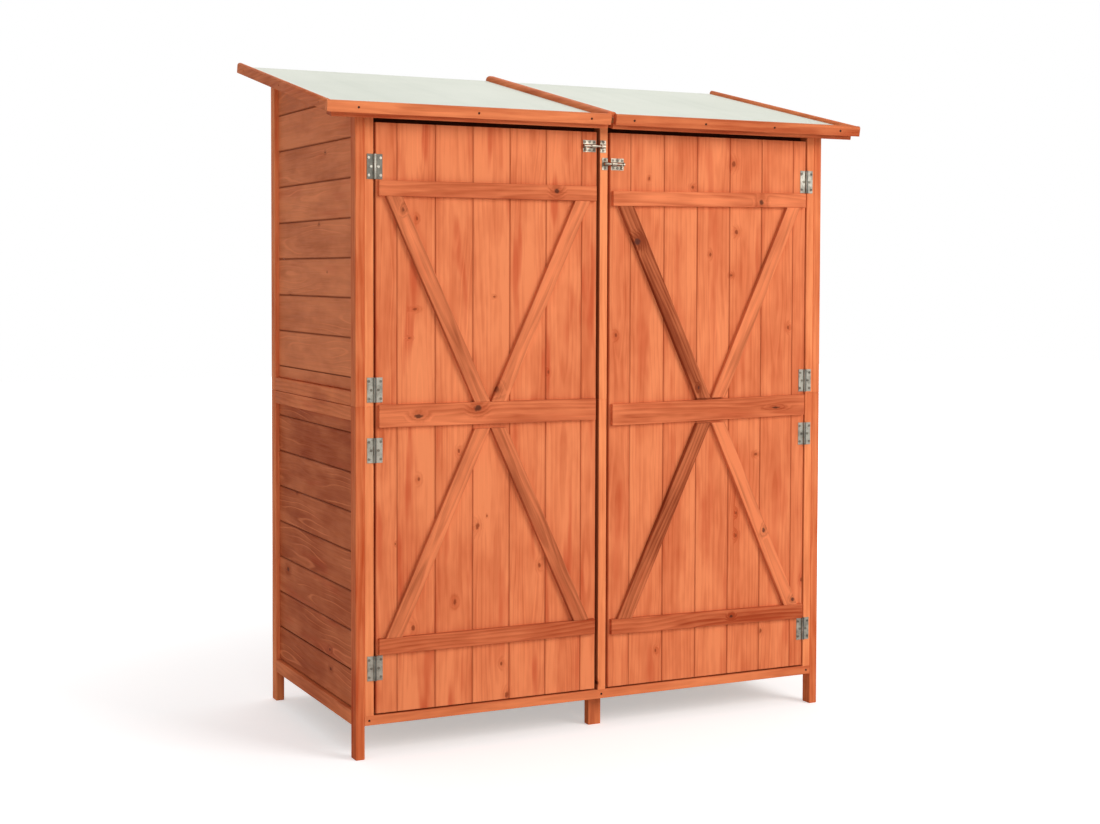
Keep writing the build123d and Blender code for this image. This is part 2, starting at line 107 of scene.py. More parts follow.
class Shader:
    """A small hand for building one node material."""

    def __init__(self, name: str) -> None:
        """Starts an empty node material.

        Args:
            name: Name of the material.
        """
        self.material = bpy.data.materials.new(name)
        self.material.use_nodes = True
        self.tree = self.material.node_tree
        self.tree.nodes.clear()
        self.output = self.tree.nodes.new("ShaderNodeOutputMaterial")
        self.surface = self.tree.nodes.new("ShaderNodeBsdfPrincipled")
        self.tree.links.new(self.surface.outputs["BSDF"], self.output.inputs["Surface"])

    def node(self, kind: str, **settings: object) -> bpy.types.Node:
        """Adds a node and sets its own properties.

        Args:
            kind: The node's type name without its ShaderNode prefix.
            settings: Properties of the node, by name.

        Returns:
            The new node.
        """
        made = self.tree.nodes.new("ShaderNode" + kind)
        for key, value in settings.items():
            setattr(made, key, value)
        return made

    def put(self, socket: Socket, value: object) -> None:
        """Links a socket to another socket, or sets its value.

        Args:
            socket: The input to fill.
            value: Another socket, or the value itself.
        """
        if isinstance(value, Socket):
            self.tree.links.new(value, socket)
        else:
            socket.default_value = value

    def math(self, operation: str, a: object, b: object = 0.0, clamp: bool = False) -> Socket:
        """Adds one Math node.

        Args:
            operation: Its operation.
            a: First number or socket.
            b: Second number or socket.
            clamp: Whether the result is held between 0 and 1.

        Returns:
            The result's socket.
        """
        made = self.node("Math", operation=operation, use_clamp=clamp)
        self.put(made.inputs[0], a)
        self.put(made.inputs[1], b)
        return made.outputs[0]

    def scale_add(self, value: object, by: object, plus: float) -> Socket:
        """Multiplies a value and adds a number to it.

        Args:
            value: Number or socket to multiply.
            by: Number or socket that multiplies it.
            plus: Number added afterwards.

        Returns:
            The result's socket.
        """
        made = self.math("MULTIPLY_ADD", value, by)
        made.node.inputs[2].default_value = plus
        return made

    def swing(self, value: object, reach: float, middle: float = 0.5) -> Socket:
        """Returns how far a value lies from a middle, scaled."""
        return self.math("MULTIPLY", self.math("SUBTRACT", value, middle), reach)

    def vector(self, operation: str, a: object, b: object) -> Socket:
        """Adds one Vector Math node.

        Args:
            operation: Its operation.
            a: First vector or socket.
            b: Second vector or socket.

        Returns:
            The resulting vector's socket.
        """
        made = self.node("VectorMath", operation=operation)
        self.put(made.inputs[0], a)
        self.put(made.inputs[1], b)
        return made.outputs[0]

    def length(self, value: Socket) -> Socket:
        """Measures a vector.

        Args:
            value: The vector.

        Returns:
            The socket of its length.
        """
        made = self.node("VectorMath", operation="LENGTH")
        self.put(made.inputs[0], value)
        return made.outputs["Value"]

    def split(self, value: Socket) -> dict[str, Socket]:
        """Splits a vector.

        Args:
            value: The vector.

        Returns:
            The sockets of its X, Y and Z.
        """
        made = self.node("SeparateXYZ")
        self.put(made.inputs[0], value)
        return {axis: made.outputs[axis] for axis in "XYZ"}

    def up_left(self, place: dict[str, Socket], corner: tuple[float, float]) -> Socket:
        """Returns 1 to the left of a corner's X and above its Z, and 0 elsewhere."""
        left = self.math("LESS_THAN", place["X"], corner[0])
        return self.math("MULTIPLY", left, self.math("GREATER_THAN", place["Z"], corner[1]))

    def noise(self, at: object, scale: float, detail: float = 2.0, rough: float = 0.5) -> Socket:
        """Adds a Noise Texture.

        Args:
            at: The vector that it reads.
            scale: Its scale.
            detail: Its number of octaves.
            rough: How strong the finer octaves are.

        Returns:
            The noise, around 0.5.
        """
        made = self.node("TexNoise", noise_dimensions="3D")
        self.put(made.inputs["Vector"], at)
        made.inputs["Scale"].default_value = scale
        made.inputs["Detail"].default_value = detail
        made.inputs["Roughness"].default_value = rough
        return made.outputs["Fac"]

    def grain(
        self, at: Socket, along: float, across: float, detail: float = 2.0, rough: float = 0.5
    ) -> Socket:
        """Returns noise that is finer across the grain than along it."""
        return self.noise(self.vector("MULTIPLY", at, (along, across, across)), 1.0, detail, rough)

    def step(
        self, value: object, low: float, high: float, out_low: float = 0.0, out_high: float = 1.0
    ) -> Socket:
        """Adds a smooth Map Range.

        Args:
            value: The number or socket to map.
            low: Input at which the output is out_low.
            high: Input at which the output is out_high.
            out_low: Output at the low end.
            out_high: Output at the high end.

        Returns:
            The mapped value's socket.
        """
        made = self.node("MapRange", interpolation_type="SMOOTHSTEP")
        self.put(made.inputs["Value"], value)
        for key, number in (("From Min", low), ("From Max", high), ("To Min", out_low), ("To Max", out_high)):
            made.inputs[key].default_value = number
        return made.outputs["Result"]

    def mix(self, share: object, a: object, b: object) -> Socket:
        """Adds a colour Mix node.

        Args:
            share: How much of b shows.
            a: First colour or socket.
            b: Second colour or socket.

        Returns:
            The mixed colour's socket.
        """
        made = self.node("Mix", data_type="RGBA")
        self.put(made.inputs["Factor"], share)
        # The colour sockets go by number, because their names are also those of other sockets
        for key, value in ((6, a), (7, b)):
            self.put(made.inputs[key], (*value, 1.0) if isinstance(value, tuple) else value)
        return made.outputs[2]

    def relief(self, height: Socket, strength: float, distance: float) -> None:
        """Raises the surface by a pattern.

        Args:
            height: The pattern.
            strength: How much of the relief shows.
            distance: Height in metres of the whole relief.
        """
        bump = self.node("Bump")
        bump.inputs["Strength"].default_value = strength
        bump.inputs["Distance"].default_value = distance
        self.put(bump.inputs["Height"], height)
        self.put(self.surface.inputs["Normal"], bump.outputs["Normal"])


@dataclass(frozen=True)
class Knot:
    """A knot at a known place on the front, in metres."""

    x: float
    z: float
    radius: float = 0.006
    stretch: float = 1.6
    lying: bool = False


@dataclass(frozen=True)
class WoodFinish:
    """Stained softwood: ring figure, fibres, knots, blotches and darker board edges."""

    name: str
    pale: Colour
    deep: Colour
    knot: Colour = srgb(96, 42, 22)
    ring_gap: float = 0.0055
    ring_strength: float = 0.45
    fibre_strength: float = 0.35
    tone_spread: float = 0.5
    knot_share: float = 0.55
    knot_size: float = 0.007
    edge_dark: float = 0.35
    roughness: float = 0.55
    bump: float = 0.25
    ring_pale: float = 0.0
    base_shade: float = 0.3
    blotching: float = 0.16
    dark_face_x: float = math.inf
    flame: float = 0.25
    flame_red: Colour = srgb(192, 72, 40)
    swirl: float = 1.3
    sway: float = 0.07
    knots: tuple[Knot, ...] = ()
    joint_z: float = 0.0
    joint_step: float = 0.1
    board_offsets: tuple[float, float, float] = (37.7, 11.3, 5.9)
    knot_cells: tuple[float, float] = (3.2, 5.5)
    knot_bend: float = 0.012
    pith_play: float = 0.06
    pith_depth: float = 0.022
    ripple_depth: float = 0.006
    face_shadow: Colour = srgb(70, 30, 16)
    shine: float = 0.04

    def build(self, run: Run | None = None, tone: float = 0.5, centre: Vector | None = None) -> Material:
        """Builds the material.

        Args:
            run: Grain direction read from Object coordinates, or None to read the piece's own attributes.
            tone: How deep the stain is where the piece has no tone of its own.
            centre: Middle of the piece, from which the growth rings are measured.

        Returns:
            The material.
        """
        label = self.name if run is None else f"{self.name}_{run.name.lower()}_{int(tone * 100)}"
        s = Shader(label)
        coords = s.node("TexCoord").outputs["Object"]
        if run is None:
            at = s.node("Attribute", attribute_name="grain").outputs["Vector"]
            depth: object = s.node("Attribute", attribute_name="tone").outputs["Fac"]
            edge: object = s.node("Attribute", attribute_name="edge").outputs["Fac"]
        else:
            at = self.lay(s, coords, run, centre or Vector())
            depth = self.tone_by_height(s, coords, tone)
            edge = 0.0
        seed = s.node("CombineXYZ")
        for index, offset in enumerate(self.board_offsets):
            s.put(seed.inputs[index], s.math("MULTIPLY", depth, offset))
        own = s.vector("ADD", at, seed.outputs[0])
        core, halo = self.find_knots(s, coords, own)
        turns, late = self.draw_rings(s, at, own, depth, halo)
        fibre = s.grain(own, 9.0, 520.0, rough=0.6)
        colour = self.stain(s, own, depth, late, fibre, halo)
        lick = s.grain(own, 3.4, 24.0)
        colour = s.mix(s.step(lick, 0.56, 0.72, 0.0, self.flame), colour, self.flame_red)
        if self.ring_pale:
            patch = s.step(s.grain(own, 3.0, 9.0, 1.0), 0.47, 0.62)
            line = s.step(s.math("ABSOLUTE", s.math("SUBTRACT", turns, 0.5)), 0.13, 0.02)
            wisp = s.math("MULTIPLY", s.math("MULTIPLY", line, patch), self.ring_pale)
            colour = s.mix(wisp, colour, tuple(min(1.0, c * 1.25) for c in self.pale))
        colour = s.mix(s.math("MULTIPLY", core, 0.85), colour, self.knot)
        rim = s.math("MULTIPLY", s.step(s.math("ABSOLUTE", edge), 0.9, 1.0), self.edge_dark)
        colour = s.mix(rim, colour, tuple(c * 0.45 for c in self.deep))
        # Painted shade: the side face at that X, the centre stile's face in the gap beside the left door, is
        # painted dark
        if math.isfinite(self.dark_face_x):
            off = s.math("ABSOLUTE", s.math("SUBTRACT", s.split(coords)["X"], self.dark_face_x))
            colour = s.mix(s.step(off, 0.0012, 0.0006, 0.0, 0.6), colour, self.face_shadow)
        s.put(s.surface.inputs["Base Color"], colour)
        gloss = s.step(fibre, 0.2, 0.8, self.roughness - 0.08, self.roughness + 0.12)
        s.put(s.surface.inputs["Roughness"], gloss)
        s.surface.inputs["Specular IOR Level"].default_value = self.shine
        height = s.math("ADD", s.math("MULTIPLY", fibre, 0.5), s.math("MULTIPLY", late, 0.35))
        s.relief(s.math("SUBTRACT", height, s.math("MULTIPLY", core, 0.4)), self.bump, 0.0006)
        return s.material

    def lay(self, s: Shader, coords: Socket, run: Run, centre: Vector) -> Socket:
        """Turns Object coordinates so that the first axis follows the grain.

        Args:
            s: The material's shader.
            coords: Object coordinates.
            run: The grain's direction.
            centre: Middle of the piece, which becomes zero.

        Returns:
            The grain's coordinates.
        """
        axes = s.split(s.vector("SUBTRACT", coords, tuple(centre)))
        joined = s.node("CombineXYZ")
        for index, axis in enumerate(run.value):
            s.put(joined.inputs[index], axes[axis])
        return joined.outputs[0]

    def tone_by_height(self, s: Shader, coords: Socket, tone: float) -> object:
        """Makes a tone deeper below the module joint than above it, where the finish has one.

        Args:
            s: The material's shader.
            coords: Object coordinates.
            tone: The tone between the two.

        Returns:
            The tone, or its socket.
        """
        if not self.joint_z:
            return tone
        above = s.math("GREATER_THAN", s.split(coords)["Z"], self.joint_z)
        return s.scale_add(above, -self.joint_step, tone + self.joint_step / 2)

    def find_knots(self, s: Shader, coords: Socket, own: Socket) -> tuple[Socket, Socket]:
        """Scatters small knots by cells along the board and adds those at known places.

        Args:
            s: The material's shader.
            coords: Object coordinates.
            own: The board's own coordinates.

        Returns:
            How much of a knot's core shows, and how much of the ring round it.
        """
        cells = s.node("TexVoronoi", voronoi_dimensions="2D", feature="F1")
        s.put(cells.inputs["Vector"], s.vector("MULTIPLY", own, (*self.knot_cells, 0.0)))
        cells.inputs["Scale"].default_value = 1.0
        pick = s.node("SeparateColor")
        s.put(pick.inputs[0], cells.outputs["Color"])
        chosen = s.math("LESS_THAN", pick.outputs[0], self.knot_share)
        size = s.scale_add(pick.outputs[1], self.knot_size * 4.5, self.knot_size * 1.2)
        near = s.math("DIVIDE", cells.outputs["Distance"], size)
        core = s.math("MULTIPLY", s.step(near, 1.0, 0.55), chosen)
        halo = s.math("MULTIPLY", s.step(near, 3.6, 0.8), chosen)
        if not self.knots:
            return core, halo
        # Farther off than any knot, in knot radii
        closest: object = 100.0
        for knot in self.knots:
            wide, tall = (knot.stretch, 1.0) if knot.lying else (1.0, knot.stretch)
            scale = (1 / knot.radius / wide, 0.0, 1 / knot.radius / tall)
            moved = s.node("VectorMath", operation="MULTIPLY_ADD")
            s.put(moved.inputs[0], coords)
            s.put(moved.inputs[1], scale)
            s.put(moved.inputs[2], (-knot.x * scale[0], 0.0, -knot.z * scale[2]))
            closest = s.math("MINIMUM", closest, s.length(moved.outputs[0]))
        closest = s.math("ADD", closest, s.swing(s.noise(coords, 160.0), 0.9))
        core = s.math("MAXIMUM", core, s.step(closest, 1.0, 0.45))
        return core, s.math("MAXIMUM", halo, s.step(closest, 3.4, 0.9))

    def draw_rings(
        self, s: Shader, at: Socket, own: Socket, depth: object, halo: Socket
    ) -> tuple[Socket, Socket]:
        """Draws growth rings round a pith beside the board, wandering and bending round the knots.

        Args:
            s: The material's shader.
            at: The grain's coordinates.
            own: The board's own coordinates.
            depth: The board's tone, which also moves its pith.
            halo: How near a knot is.

        Returns:
            Place within a ring from 0 to 1, and how much late wood there is.
        """
        parts = s.split(at)
        side = s.math("ADD", parts["Y"], s.scale_add(depth, self.pith_play, -self.pith_play / 2))
        below = s.math("ADD", parts["Z"], self.pith_depth)
        squares = (s.math("MULTIPLY", side, side), s.math("MULTIPLY", below, below))
        reach = s.math("SQRT", s.math("ADD", *squares))
        wander = s.grain(own, 1.1 * self.swirl, 5.0 * self.swirl)
        reach = s.math("ADD", reach, s.swing(wander, self.sway))
        reach = s.math("ADD", reach, s.swing(s.grain(own, 5.0, 22.0), self.ripple_depth))
        reach = s.math("ADD", reach, s.math("MULTIPLY", halo, self.knot_bend))
        turns = s.math("FRACT", s.math("DIVIDE", reach, self.ring_gap))
        return turns, s.math("MULTIPLY", s.step(turns, 0.1, 0.8), s.step(turns, 1.0, 0.82))

    def stain(
        self, s: Shader, own: Socket, depth: object, late: Socket, fibre: Socket, halo: Socket
    ) -> Socket:
        """Stains the wood deeper on late wood, in streaks, round knots and on some boards.

        Args:
            s: The material's shader.
            own: The board's own coordinates.
            depth: The board's tone.
            late: How much late wood there is.
            fibre: The fine fibres.
            halo: How near a knot is.

        Returns:
            The stained colour.
        """
        half = self.fibre_strength / 2
        streak = s.grain(own, 3.0, 30.0, 3.0, 0.6)
        blotch = s.grain(own, 4.0, 10.0, 3.0, 0.6)
        shade = s.swing(late, self.ring_strength, 0.4)
        shade = s.math("ADD", shade, s.step(streak, 0.35, 0.7, -half, half))
        shade = s.math("ADD", shade, s.step(fibre, 0.35, 0.75, -half * 0.4, half * 0.4))
        shade = s.math("ADD", shade, s.step(blotch, 0.3, 0.7, -self.blotching, self.blotching))
        shade = s.math(
            "ADD", shade, s.scale_add(depth, self.tone_spread, self.base_shade - 0.5 * self.tone_spread)
        )
        shade = s.math("ADD", shade, s.math("MULTIPLY", halo, 0.28), clamp=True)
        return s.mix(shade, self.pale, self.deep)


@dataclass(frozen=True)
class SteelFinish:
    """Zinc-plated pressed steel with dull patches and fine scratches."""

    name: str
    bright: Colour
    dull: Colour
    roughness: float = 0.42
    seams: tuple[float, ...] = ()
    # Corner of the topmost left hinge, whose leaves get a painted dark reflection
    dark_reflection_at: tuple[float, float] | None = None
    glint: tuple[float, float] | None = None
    # Colours of the painted dark reflection on the topmost left hinge and of the painted shade along the
    # other hinges' seams
    dark_reflection: Colour = srgb(84, 82, 74)
    seam_shade: Colour = srgb(52, 54, 52)
    shining: Colour = srgb(206, 200, 186)

    def build(self) -> Material:
        """Builds the material, which reads Object coordinates.

        Returns:
            The material.
        """
        s = Shader(self.name)
        at = s.node("TexCoord").outputs["Object"]
        patch = s.noise(at, 38.0, 3.0, 0.6)
        speck = s.noise(at, 420.0, 2.0, 0.6)
        scratch = s.noise(s.vector("MULTIPLY", at, (1.0, 1.0, 14.0)), 90.0)
        dull_patch = s.step(patch, 0.35, 0.7, 0.0, 0.8)
        share = s.math("ADD", dull_patch, s.step(speck, 0.5, 0.75, 0.0, 0.35), clamp=True)
        colour = s.mix(share, self.bright, self.dull)
        # Painted dark reflection on the topmost left hinge and painted shade along the hinge seams
        if self.seams and self.dark_reflection_at:
            colour = self.weather(s, s.split(at), colour)
        # Painted highlight: the screws of the topmost left hinge are painted brighter, as a glint
        if self.glint:
            new = s.up_left(s.split(at), self.glint)
            colour = s.mix(s.math("MULTIPLY", new, 0.8), colour, self.shining)
        s.put(s.surface.inputs["Base Color"], colour)
        s.surface.inputs["Metallic"].default_value = 0.85
        gloss = s.step(patch, 0.3, 0.7, self.roughness - 0.08, self.roughness + 0.16)
        s.put(s.surface.inputs["Roughness"], gloss)
        s.relief(s.math("ADD", scratch, speck), 0.25, 0.0002)
        return s.material

    def weather(self, s: Shader, place: dict[str, Socket], colour: Socket) -> Socket:
        """Paints a dark reflection on the leaves of the topmost left hinge and shade along the seams of the
        others.

        Args:
            s: The material's shader.
            place: Object coordinates, split.
            colour: The steel's colour so far.

        Returns:
            The weathered colour.
        """
        # Well off the seams, in metres
        gap: object = 1.0
        for seam in self.seams:
            gap = s.math("MINIMUM", gap, s.math("ABSOLUTE", s.math("SUBTRACT", place["X"], seam)))
        # Painted reflection: the leaves of the topmost left hinge are painted darker, standing in for a dark
        # reflection
        reflecting_hinge = s.up_left(place, self.dark_reflection_at)
        leaf = s.math("MULTIPLY", reflecting_hinge, s.step(gap, 0.0034, 0.0042))
        colour = s.mix(s.math("MULTIPLY", leaf, 0.8), colour, self.dark_reflection)
        # Painted shade: a dark line along the seams of the other hinges
        seam_shade_share = s.math("MULTIPLY", s.step(gap, 0.0026, 0.0012), s.math("SUBTRACT", 1.0, reflecting_hinge))
        return s.mix(s.math("MULTIPLY", seam_shade_share, 0.75), colour, self.seam_shade)


@dataclass(frozen=True)
class SheetFinish:
    """Smooth pale roof sheet, faintly mottled, with weathering streaks down the slope."""

    name: str
    pale: Colour
    cool: Colour

    def build(self) -> Material:
        """Builds the material, which reads Object coordinates.

        Returns:
            The material.
        """
        s = Shader(self.name)
        at = s.node("TexCoord").outputs["Object"]
        cloud = s.noise(at, 2.6, 3.0, 0.55)
        streak = s.grain(at, 16.0, 1.2)
        grit = s.noise(at, 900.0, 2.0, 0.7)
        share = s.math("ADD", s.step(cloud, 0.3, 0.75, 0.0, 0.6), s.step(streak, 0.4, 0.8, 0.0, 0.3))
        share = s.math("ADD", share, s.step(grit, 0.4, 0.7, 0.0, 0.15), clamp=True)
        s.put(s.surface.inputs["Base Color"], s.mix(share, self.pale, self.cool))
        s.put(s.surface.inputs["Roughness"], s.step(grit, 0.3, 0.7, 0.42, 0.58))
        s.relief(grit, 0.15, 0.0003)
        return s.material


class Bench:
    """The hand tools: primitives, edit-mode cuts and copies, each leaving its object at the origin."""

    @staticmethod
    def clear() -> None:
        """Leaves edit mode and deselects everything."""
        if bpy.context.object and bpy.context.object.mode != "OBJECT":
            bpy.ops.object.mode_set(mode="OBJECT")
        bpy.ops.object.select_all(action="DESELECT")

    @staticmethod
    def only(piece: Piece) -> None:
        """Makes one piece the selected and active one.

        Args:
            piece: The piece.
        """
        Bench.clear()
        piece.select_set(True)
        bpy.context.view_layer.objects.active = piece

    @staticmethod
    def settle(name: str) -> Piece:
        """Names the primitive that was just added and moves its place into its mesh.

        Args:
            name: Name of the piece.

        Returns:
            The piece.
        """
        piece = bpy.context.object
        piece.name = name
        bpy.ops.object.transform_apply(location=True, rotation=True, scale=True)
        return piece

    @staticmethod
    def block(name: str, low: Sequence[float], high: Sequence[float], turn: float = 0.0) -> Piece:
        """Adds a squared timber between two corners.

        Args:
            name: Name of the piece.
            low: Lowest corner before it is turned.
            high: Highest corner before it is turned.
            turn: Angle in radians by which it is turned about its middle, across the front.

        Returns:
            The new piece.
        """
        Bench.clear()
        middle = [(a + b) / 2 for a, b in zip(low, high)]
        size = [b - a for a, b in zip(low, high)]
        bpy.ops.mesh.primitive_cube_add(size=1, location=middle, rotation=(0.0, turn, 0.0), scale=size)
        return Bench.settle(name)

    @staticmethod
    def rod(name: str, radius: float, length: float, sides: int) -> Piece:
        """Adds a round piece at the origin, with one end to the front.

        Args:
            name: Name of the piece.
            radius: Its radius.
            length: Its length.
            sides: Number of sides.

        Returns:
            The new piece.
        """
        Bench.clear()
        bpy.ops.mesh.primitive_cylinder_add(
            vertices=sides, radius=radius, depth=length, location=(0, 0, 0), rotation=(math.pi / 2, 0, 0)
        )
        return Bench.settle(name)

    @staticmethod
    def ease(piece: Piece, offset: float, test: Callable[[Vector, Vector], bool], segments: int = 1) -> None:
        """Bevels the edges that pass a test.

        Args:
            piece: The piece.
            offset: Width of the bevel.
            test: Takes an edge's two ends and says whether it is bevelled.
            segments: Number of segments of the bevel.
        """
        Bench.only(piece)
        bpy.ops.object.mode_set(mode="EDIT")
        bpy.ops.mesh.select_mode(type="EDGE")
        bpy.ops.mesh.select_all(action="DESELECT")
        bpy.ops.object.mode_set(mode="OBJECT")
        mesh = piece.data
        for edge in mesh.edges:
            a, b = (mesh.vertices[i].co for i in edge.vertices)
            edge.select = bool(test(a, b))
        bpy.ops.object.mode_set(mode="EDIT")
        bpy.ops.mesh.bevel(offset=offset, offset_type="OFFSET", segments=segments, affect="EDGES")
        bpy.ops.object.mode_set(mode="OBJECT")

    @staticmethod
    def trim(piece: Piece, point: Sequence[float], normal: Sequence[float]) -> None:
        """Saws off what lies beyond a plane.

        Args:
            piece: The piece.
            point: A point of the plane.
            normal: Direction out of the plane towards what is sawn off.
        """
        Bench.only(piece)
        bpy.ops.object.mode_set(mode="EDIT")
        bpy.ops.mesh.select_all(action="SELECT")
        bpy.ops.mesh.bisect(plane_co=point, plane_no=normal, use_fill=True, clear_outer=True)
        bpy.ops.object.mode_set(mode="OBJECT")

    @staticmethod
    def carve(piece: Piece, tool: Piece) -> None:
        """Cuts the shape of a tool out of a piece, and takes the tool away.

        Args:
            piece: The piece.
            tool: What is cut out of it.
        """
        Bench.only(piece)
        cut = piece.modifiers.new("cut", "BOOLEAN")
        cut.operation, cut.solver, cut.object = "DIFFERENCE", "EXACT", tool
        bpy.ops.object.modifier_apply(modifier=cut.name)
        Bench.remove(tool)

    @staticmethod
    def twin(piece: Piece, name: str, shift: Sequence[float]) -> Piece:
        """Copies a piece with a mesh of its own.

        Args:
            piece: The piece to copy.
            name: Name of the copy.
            shift: How far the copy lies from it.

        Returns:
            The copy.
        """
        copy = piece.copy()
        copy.data = piece.data.copy()
        copy.name = name
        bpy.context.scene.collection.objects.link(copy)
        copy.data.transform(Matrix.Translation(Vector(shift)))
        return copy

    @staticmethod
    def join(name: str, pieces: Sequence[Piece]) -> Piece:
        """Joins pieces into one.

        Args:
            name: Name of the joined piece.
            pieces: The pieces.

        Returns:
            The joined piece.
        """
        Bench.clear()
        for piece in pieces:
            piece.select_set(True)
        bpy.context.view_layer.objects.active = pieces[0]
        if len(pieces) > 1:
            bpy.ops.object.join()
        made = bpy.context.object
        made.name = name
        made.data.name = name
        return made

    @staticmethod
    def remove(piece: Piece) -> None:
        """Takes a pattern piece away again."""
        bpy.data.objects.remove(piece, do_unlink=True)

    @staticmethod
    def mark(piece: Piece, run: Sequence[Vector], tone: float) -> None:
        """Writes the board's own grain coordinates, tone and edge distance on its points.

        Args:
            piece: The board, before it is joined to others.
            run: Unit vectors along the grain, across it and through the thickness.
            tone: Depth of the stain from 0 to 1.
        """
        mesh = piece.data
        count = len(mesh.vertices)
        points = np.empty(count * 3)
        mesh.vertices.foreach_get("co", points)
        points = points.reshape(-1, 3)
        grain = np.stack([points @ np.array(axis) for axis in run], 1)
        for column in (1, 2):
            grain[:, column] -= (grain[:, column].min() + grain[:, column].max()) / 2
        half = max(np.abs(grain[:, 1]).max(), 1e-6)
        for name, kind, key, values in (
            ("grain", "FLOAT_VECTOR", "vector", grain),
            ("tone", "FLOAT", "value", np.full(count, tone)),
            ("edge", "FLOAT", "value", grain[:, 1] / half),
        ):
            layer = mesh.attributes.new(name, kind, "POINT")
            layer.data.foreach_set(key, values.astype(np.float32).ravel())

    @staticmethod
    def dress(piece: Piece, material: Material) -> None:
        """Gives a piece one material, in every slot that it has.

        Args:
            piece: The piece.
            material: The material.
        """
        if not piece.material_slots:
            piece.data.materials.append(material)
        for slot in piece.material_slots:
            slot.material = material


def on_front(face: float) -> Callable[[Vector, Vector], bool]:
    """Returns a test for edges that lie on a front face at that depth."""
    return lambda p, q: abs(p.y - face) < SAME and abs(q.y - face) < SAME


def evenly(first: float, last: float, count: int) -> list[float]:
    """Returns so many places, spread evenly from the first to the last."""
    return [first + (last - first) * i / (count - 1) for i in range(count)]


class Finishes:
    """Every finish of the shed, built when first asked for."""

    def __init__(self) -> None:
        """Starts with no finish built."""
        self.made: dict[str, Material] = {}

    def wood(
        self, finish: WoodFinish, run: Run | None = None, tone: float = 0.5, centre: Vector | None = None
    ) -> Material:
        """Gives a wood material, built once for each finish, grain direction, tone and place.

        Args:
            finish: The wood finish.
            run: Grain direction, or None to read the piece's own attributes.
            tone: How deep the stain is.
            centre: Middle of the piece.

        Returns:
            The material.
        """
        place = None if centre is None else tuple(round(c, 3) for c in centre)
        key = f"{finish.name} {run} {tone:.2f} {place}"
        if key not in self.made:
            self.made[key] = finish.build(run, tone, centre)
        return self.made[key]

    def plain(self, finish: "SteelFinish | SheetFinish") -> Material:
        """Gives a steel or sheet material, built once.

        Args:
            finish: The finish.

        Returns:
            The material.
        """
        if finish.name not in self.made:
            self.made[finish.name] = finish.build()
        return self.made[finish.name]


# The knots that show most on each door; the small ones are scattered by the finish
LEFT_BOARD_KNOTS = (
    Knot(-0.50, 1.31, 0.0035),
    Knot(-0.505, 1.09, 0.0075, 0.5),
    Knot(-0.52, 1.02, 0.0055, 0.5),
    Knot(-0.295, 1.12, 0.0045, 0.7),
    Knot(-0.39, 0.74, 0.004),
    Knot(-0.495, 0.675, 0.0045),
    Knot(-0.34, 0.55, 0.0065),
    Knot(-0.17, 0.44, 0.005),
    Knot(-0.40, 0.365, 0.005),
    Knot(-0.51, 0.31, 0.006),
    Knot(-0.275, 0.20, 0.0045),
    Knot(-0.26, 0.12, 0.006),
)
RIGHT_BOARD_KNOTS = (
    Knot(0.395, 1.47, 0.0075, 1.3),
    Knot(0.14, 1.425, 0.0035),
    Knot(0.27, 1.405, 0.006, 0.8),
    Knot(0.405, 1.29, 0.0065, 1.1),
    Knot(0.325, 1.23, 0.004),
    Knot(0.39, 1.175, 0.005, 0.8),
    Knot(0.57, 1.035, 0.0045),
    Knot(0.045, 1.02, 0.0045),
    Knot(0.47, 0.695, 0.006, 0.8),
    Knot(0.41, 0.54, 0.004),
    Knot(0.41, 0.48, 0.0045),
    Knot(0.62, 0.345, 0.005),
    Knot(0.49, 0.215, 0.005),
)
LEFT_LEDGE_KNOTS = (
    Knot(-0.13, 1.385, 0.0085, 1.1, lying=True),
    Knot(-0.50, 0.83, 0.006, 2.2, lying=True),
    Knot(-0.345, 0.845, 0.0095, 1.3, lying=True),
)
RIGHT_LEDGE_KNOTS = (
    Knot(0.475, 1.37, 0.0095, 1.0, lying=True),
    Knot(0.525, 0.82, 0.0035, 5.0, lying=True),
    Knot(0.39, 0.265, 0.005, 1.3, lying=True),
)
LEFT_BRACE_KNOTS = (
    Knot(-0.54, 1.33, 0.0045),
    Knot(-0.295, 0.89, 0.01, 1.0),
)
RIGHT_BRACE_KNOTS = (
    Knot(0.10, 1.26, 0.011, 1.0),
    Knot(0.285, 0.88, 0.004),
    Knot(0.49, 0.49, 0.0055),
    Knot(0.585, 0.295, 0.0065, 1.0),
)

LEFT_DOOR_WOOD = WoodFinish(
    "left_door_wood", srgb(236, 138, 90), srgb(182, 72, 36), knot=srgb(140, 62, 34), knots=LEFT_BOARD_KNOTS,
    ring_gap=0.011, ring_strength=0.14, ring_pale=0.25, fibre_strength=0.26, knot_share=0.22,
    knot_size=0.004, edge_dark=0.3, flame=0.6, blotching=0.24,
)
RIGHT_DOOR_WOOD = replace(LEFT_DOOR_WOOD, name="right_door_wood", flame=0.35, knots=RIGHT_BOARD_KNOTS)
LEFT_LEDGE_WOOD = WoodFinish(
    "left_ledge_wood", srgb(236, 134, 87), srgb(162, 66, 34), knot=srgb(76, 40, 28), knots=LEFT_LEDGE_KNOTS,
    ring_gap=0.009, ring_strength=0.22, knot_share=0.0, edge_dark=0.15, tone_spread=0.9, flame=0.15,
)
RIGHT_LEDGE_WOOD = replace(LEFT_LEDGE_WOOD, name="right_ledge_wood", knots=RIGHT_LEDGE_KNOTS)
LEFT_BRACE_WOOD = replace(
    LEFT_LEDGE_WOOD, name="left_brace_wood", deep=srgb(138, 62, 34), knot=srgb(120, 58, 36),
    knots=LEFT_BRACE_KNOTS,
)
RIGHT_BRACE_WOOD = replace(
    LEFT_BRACE_WOOD, name="right_brace_wood", knot=srgb(84, 46, 38), knots=RIGHT_BRACE_KNOTS
)
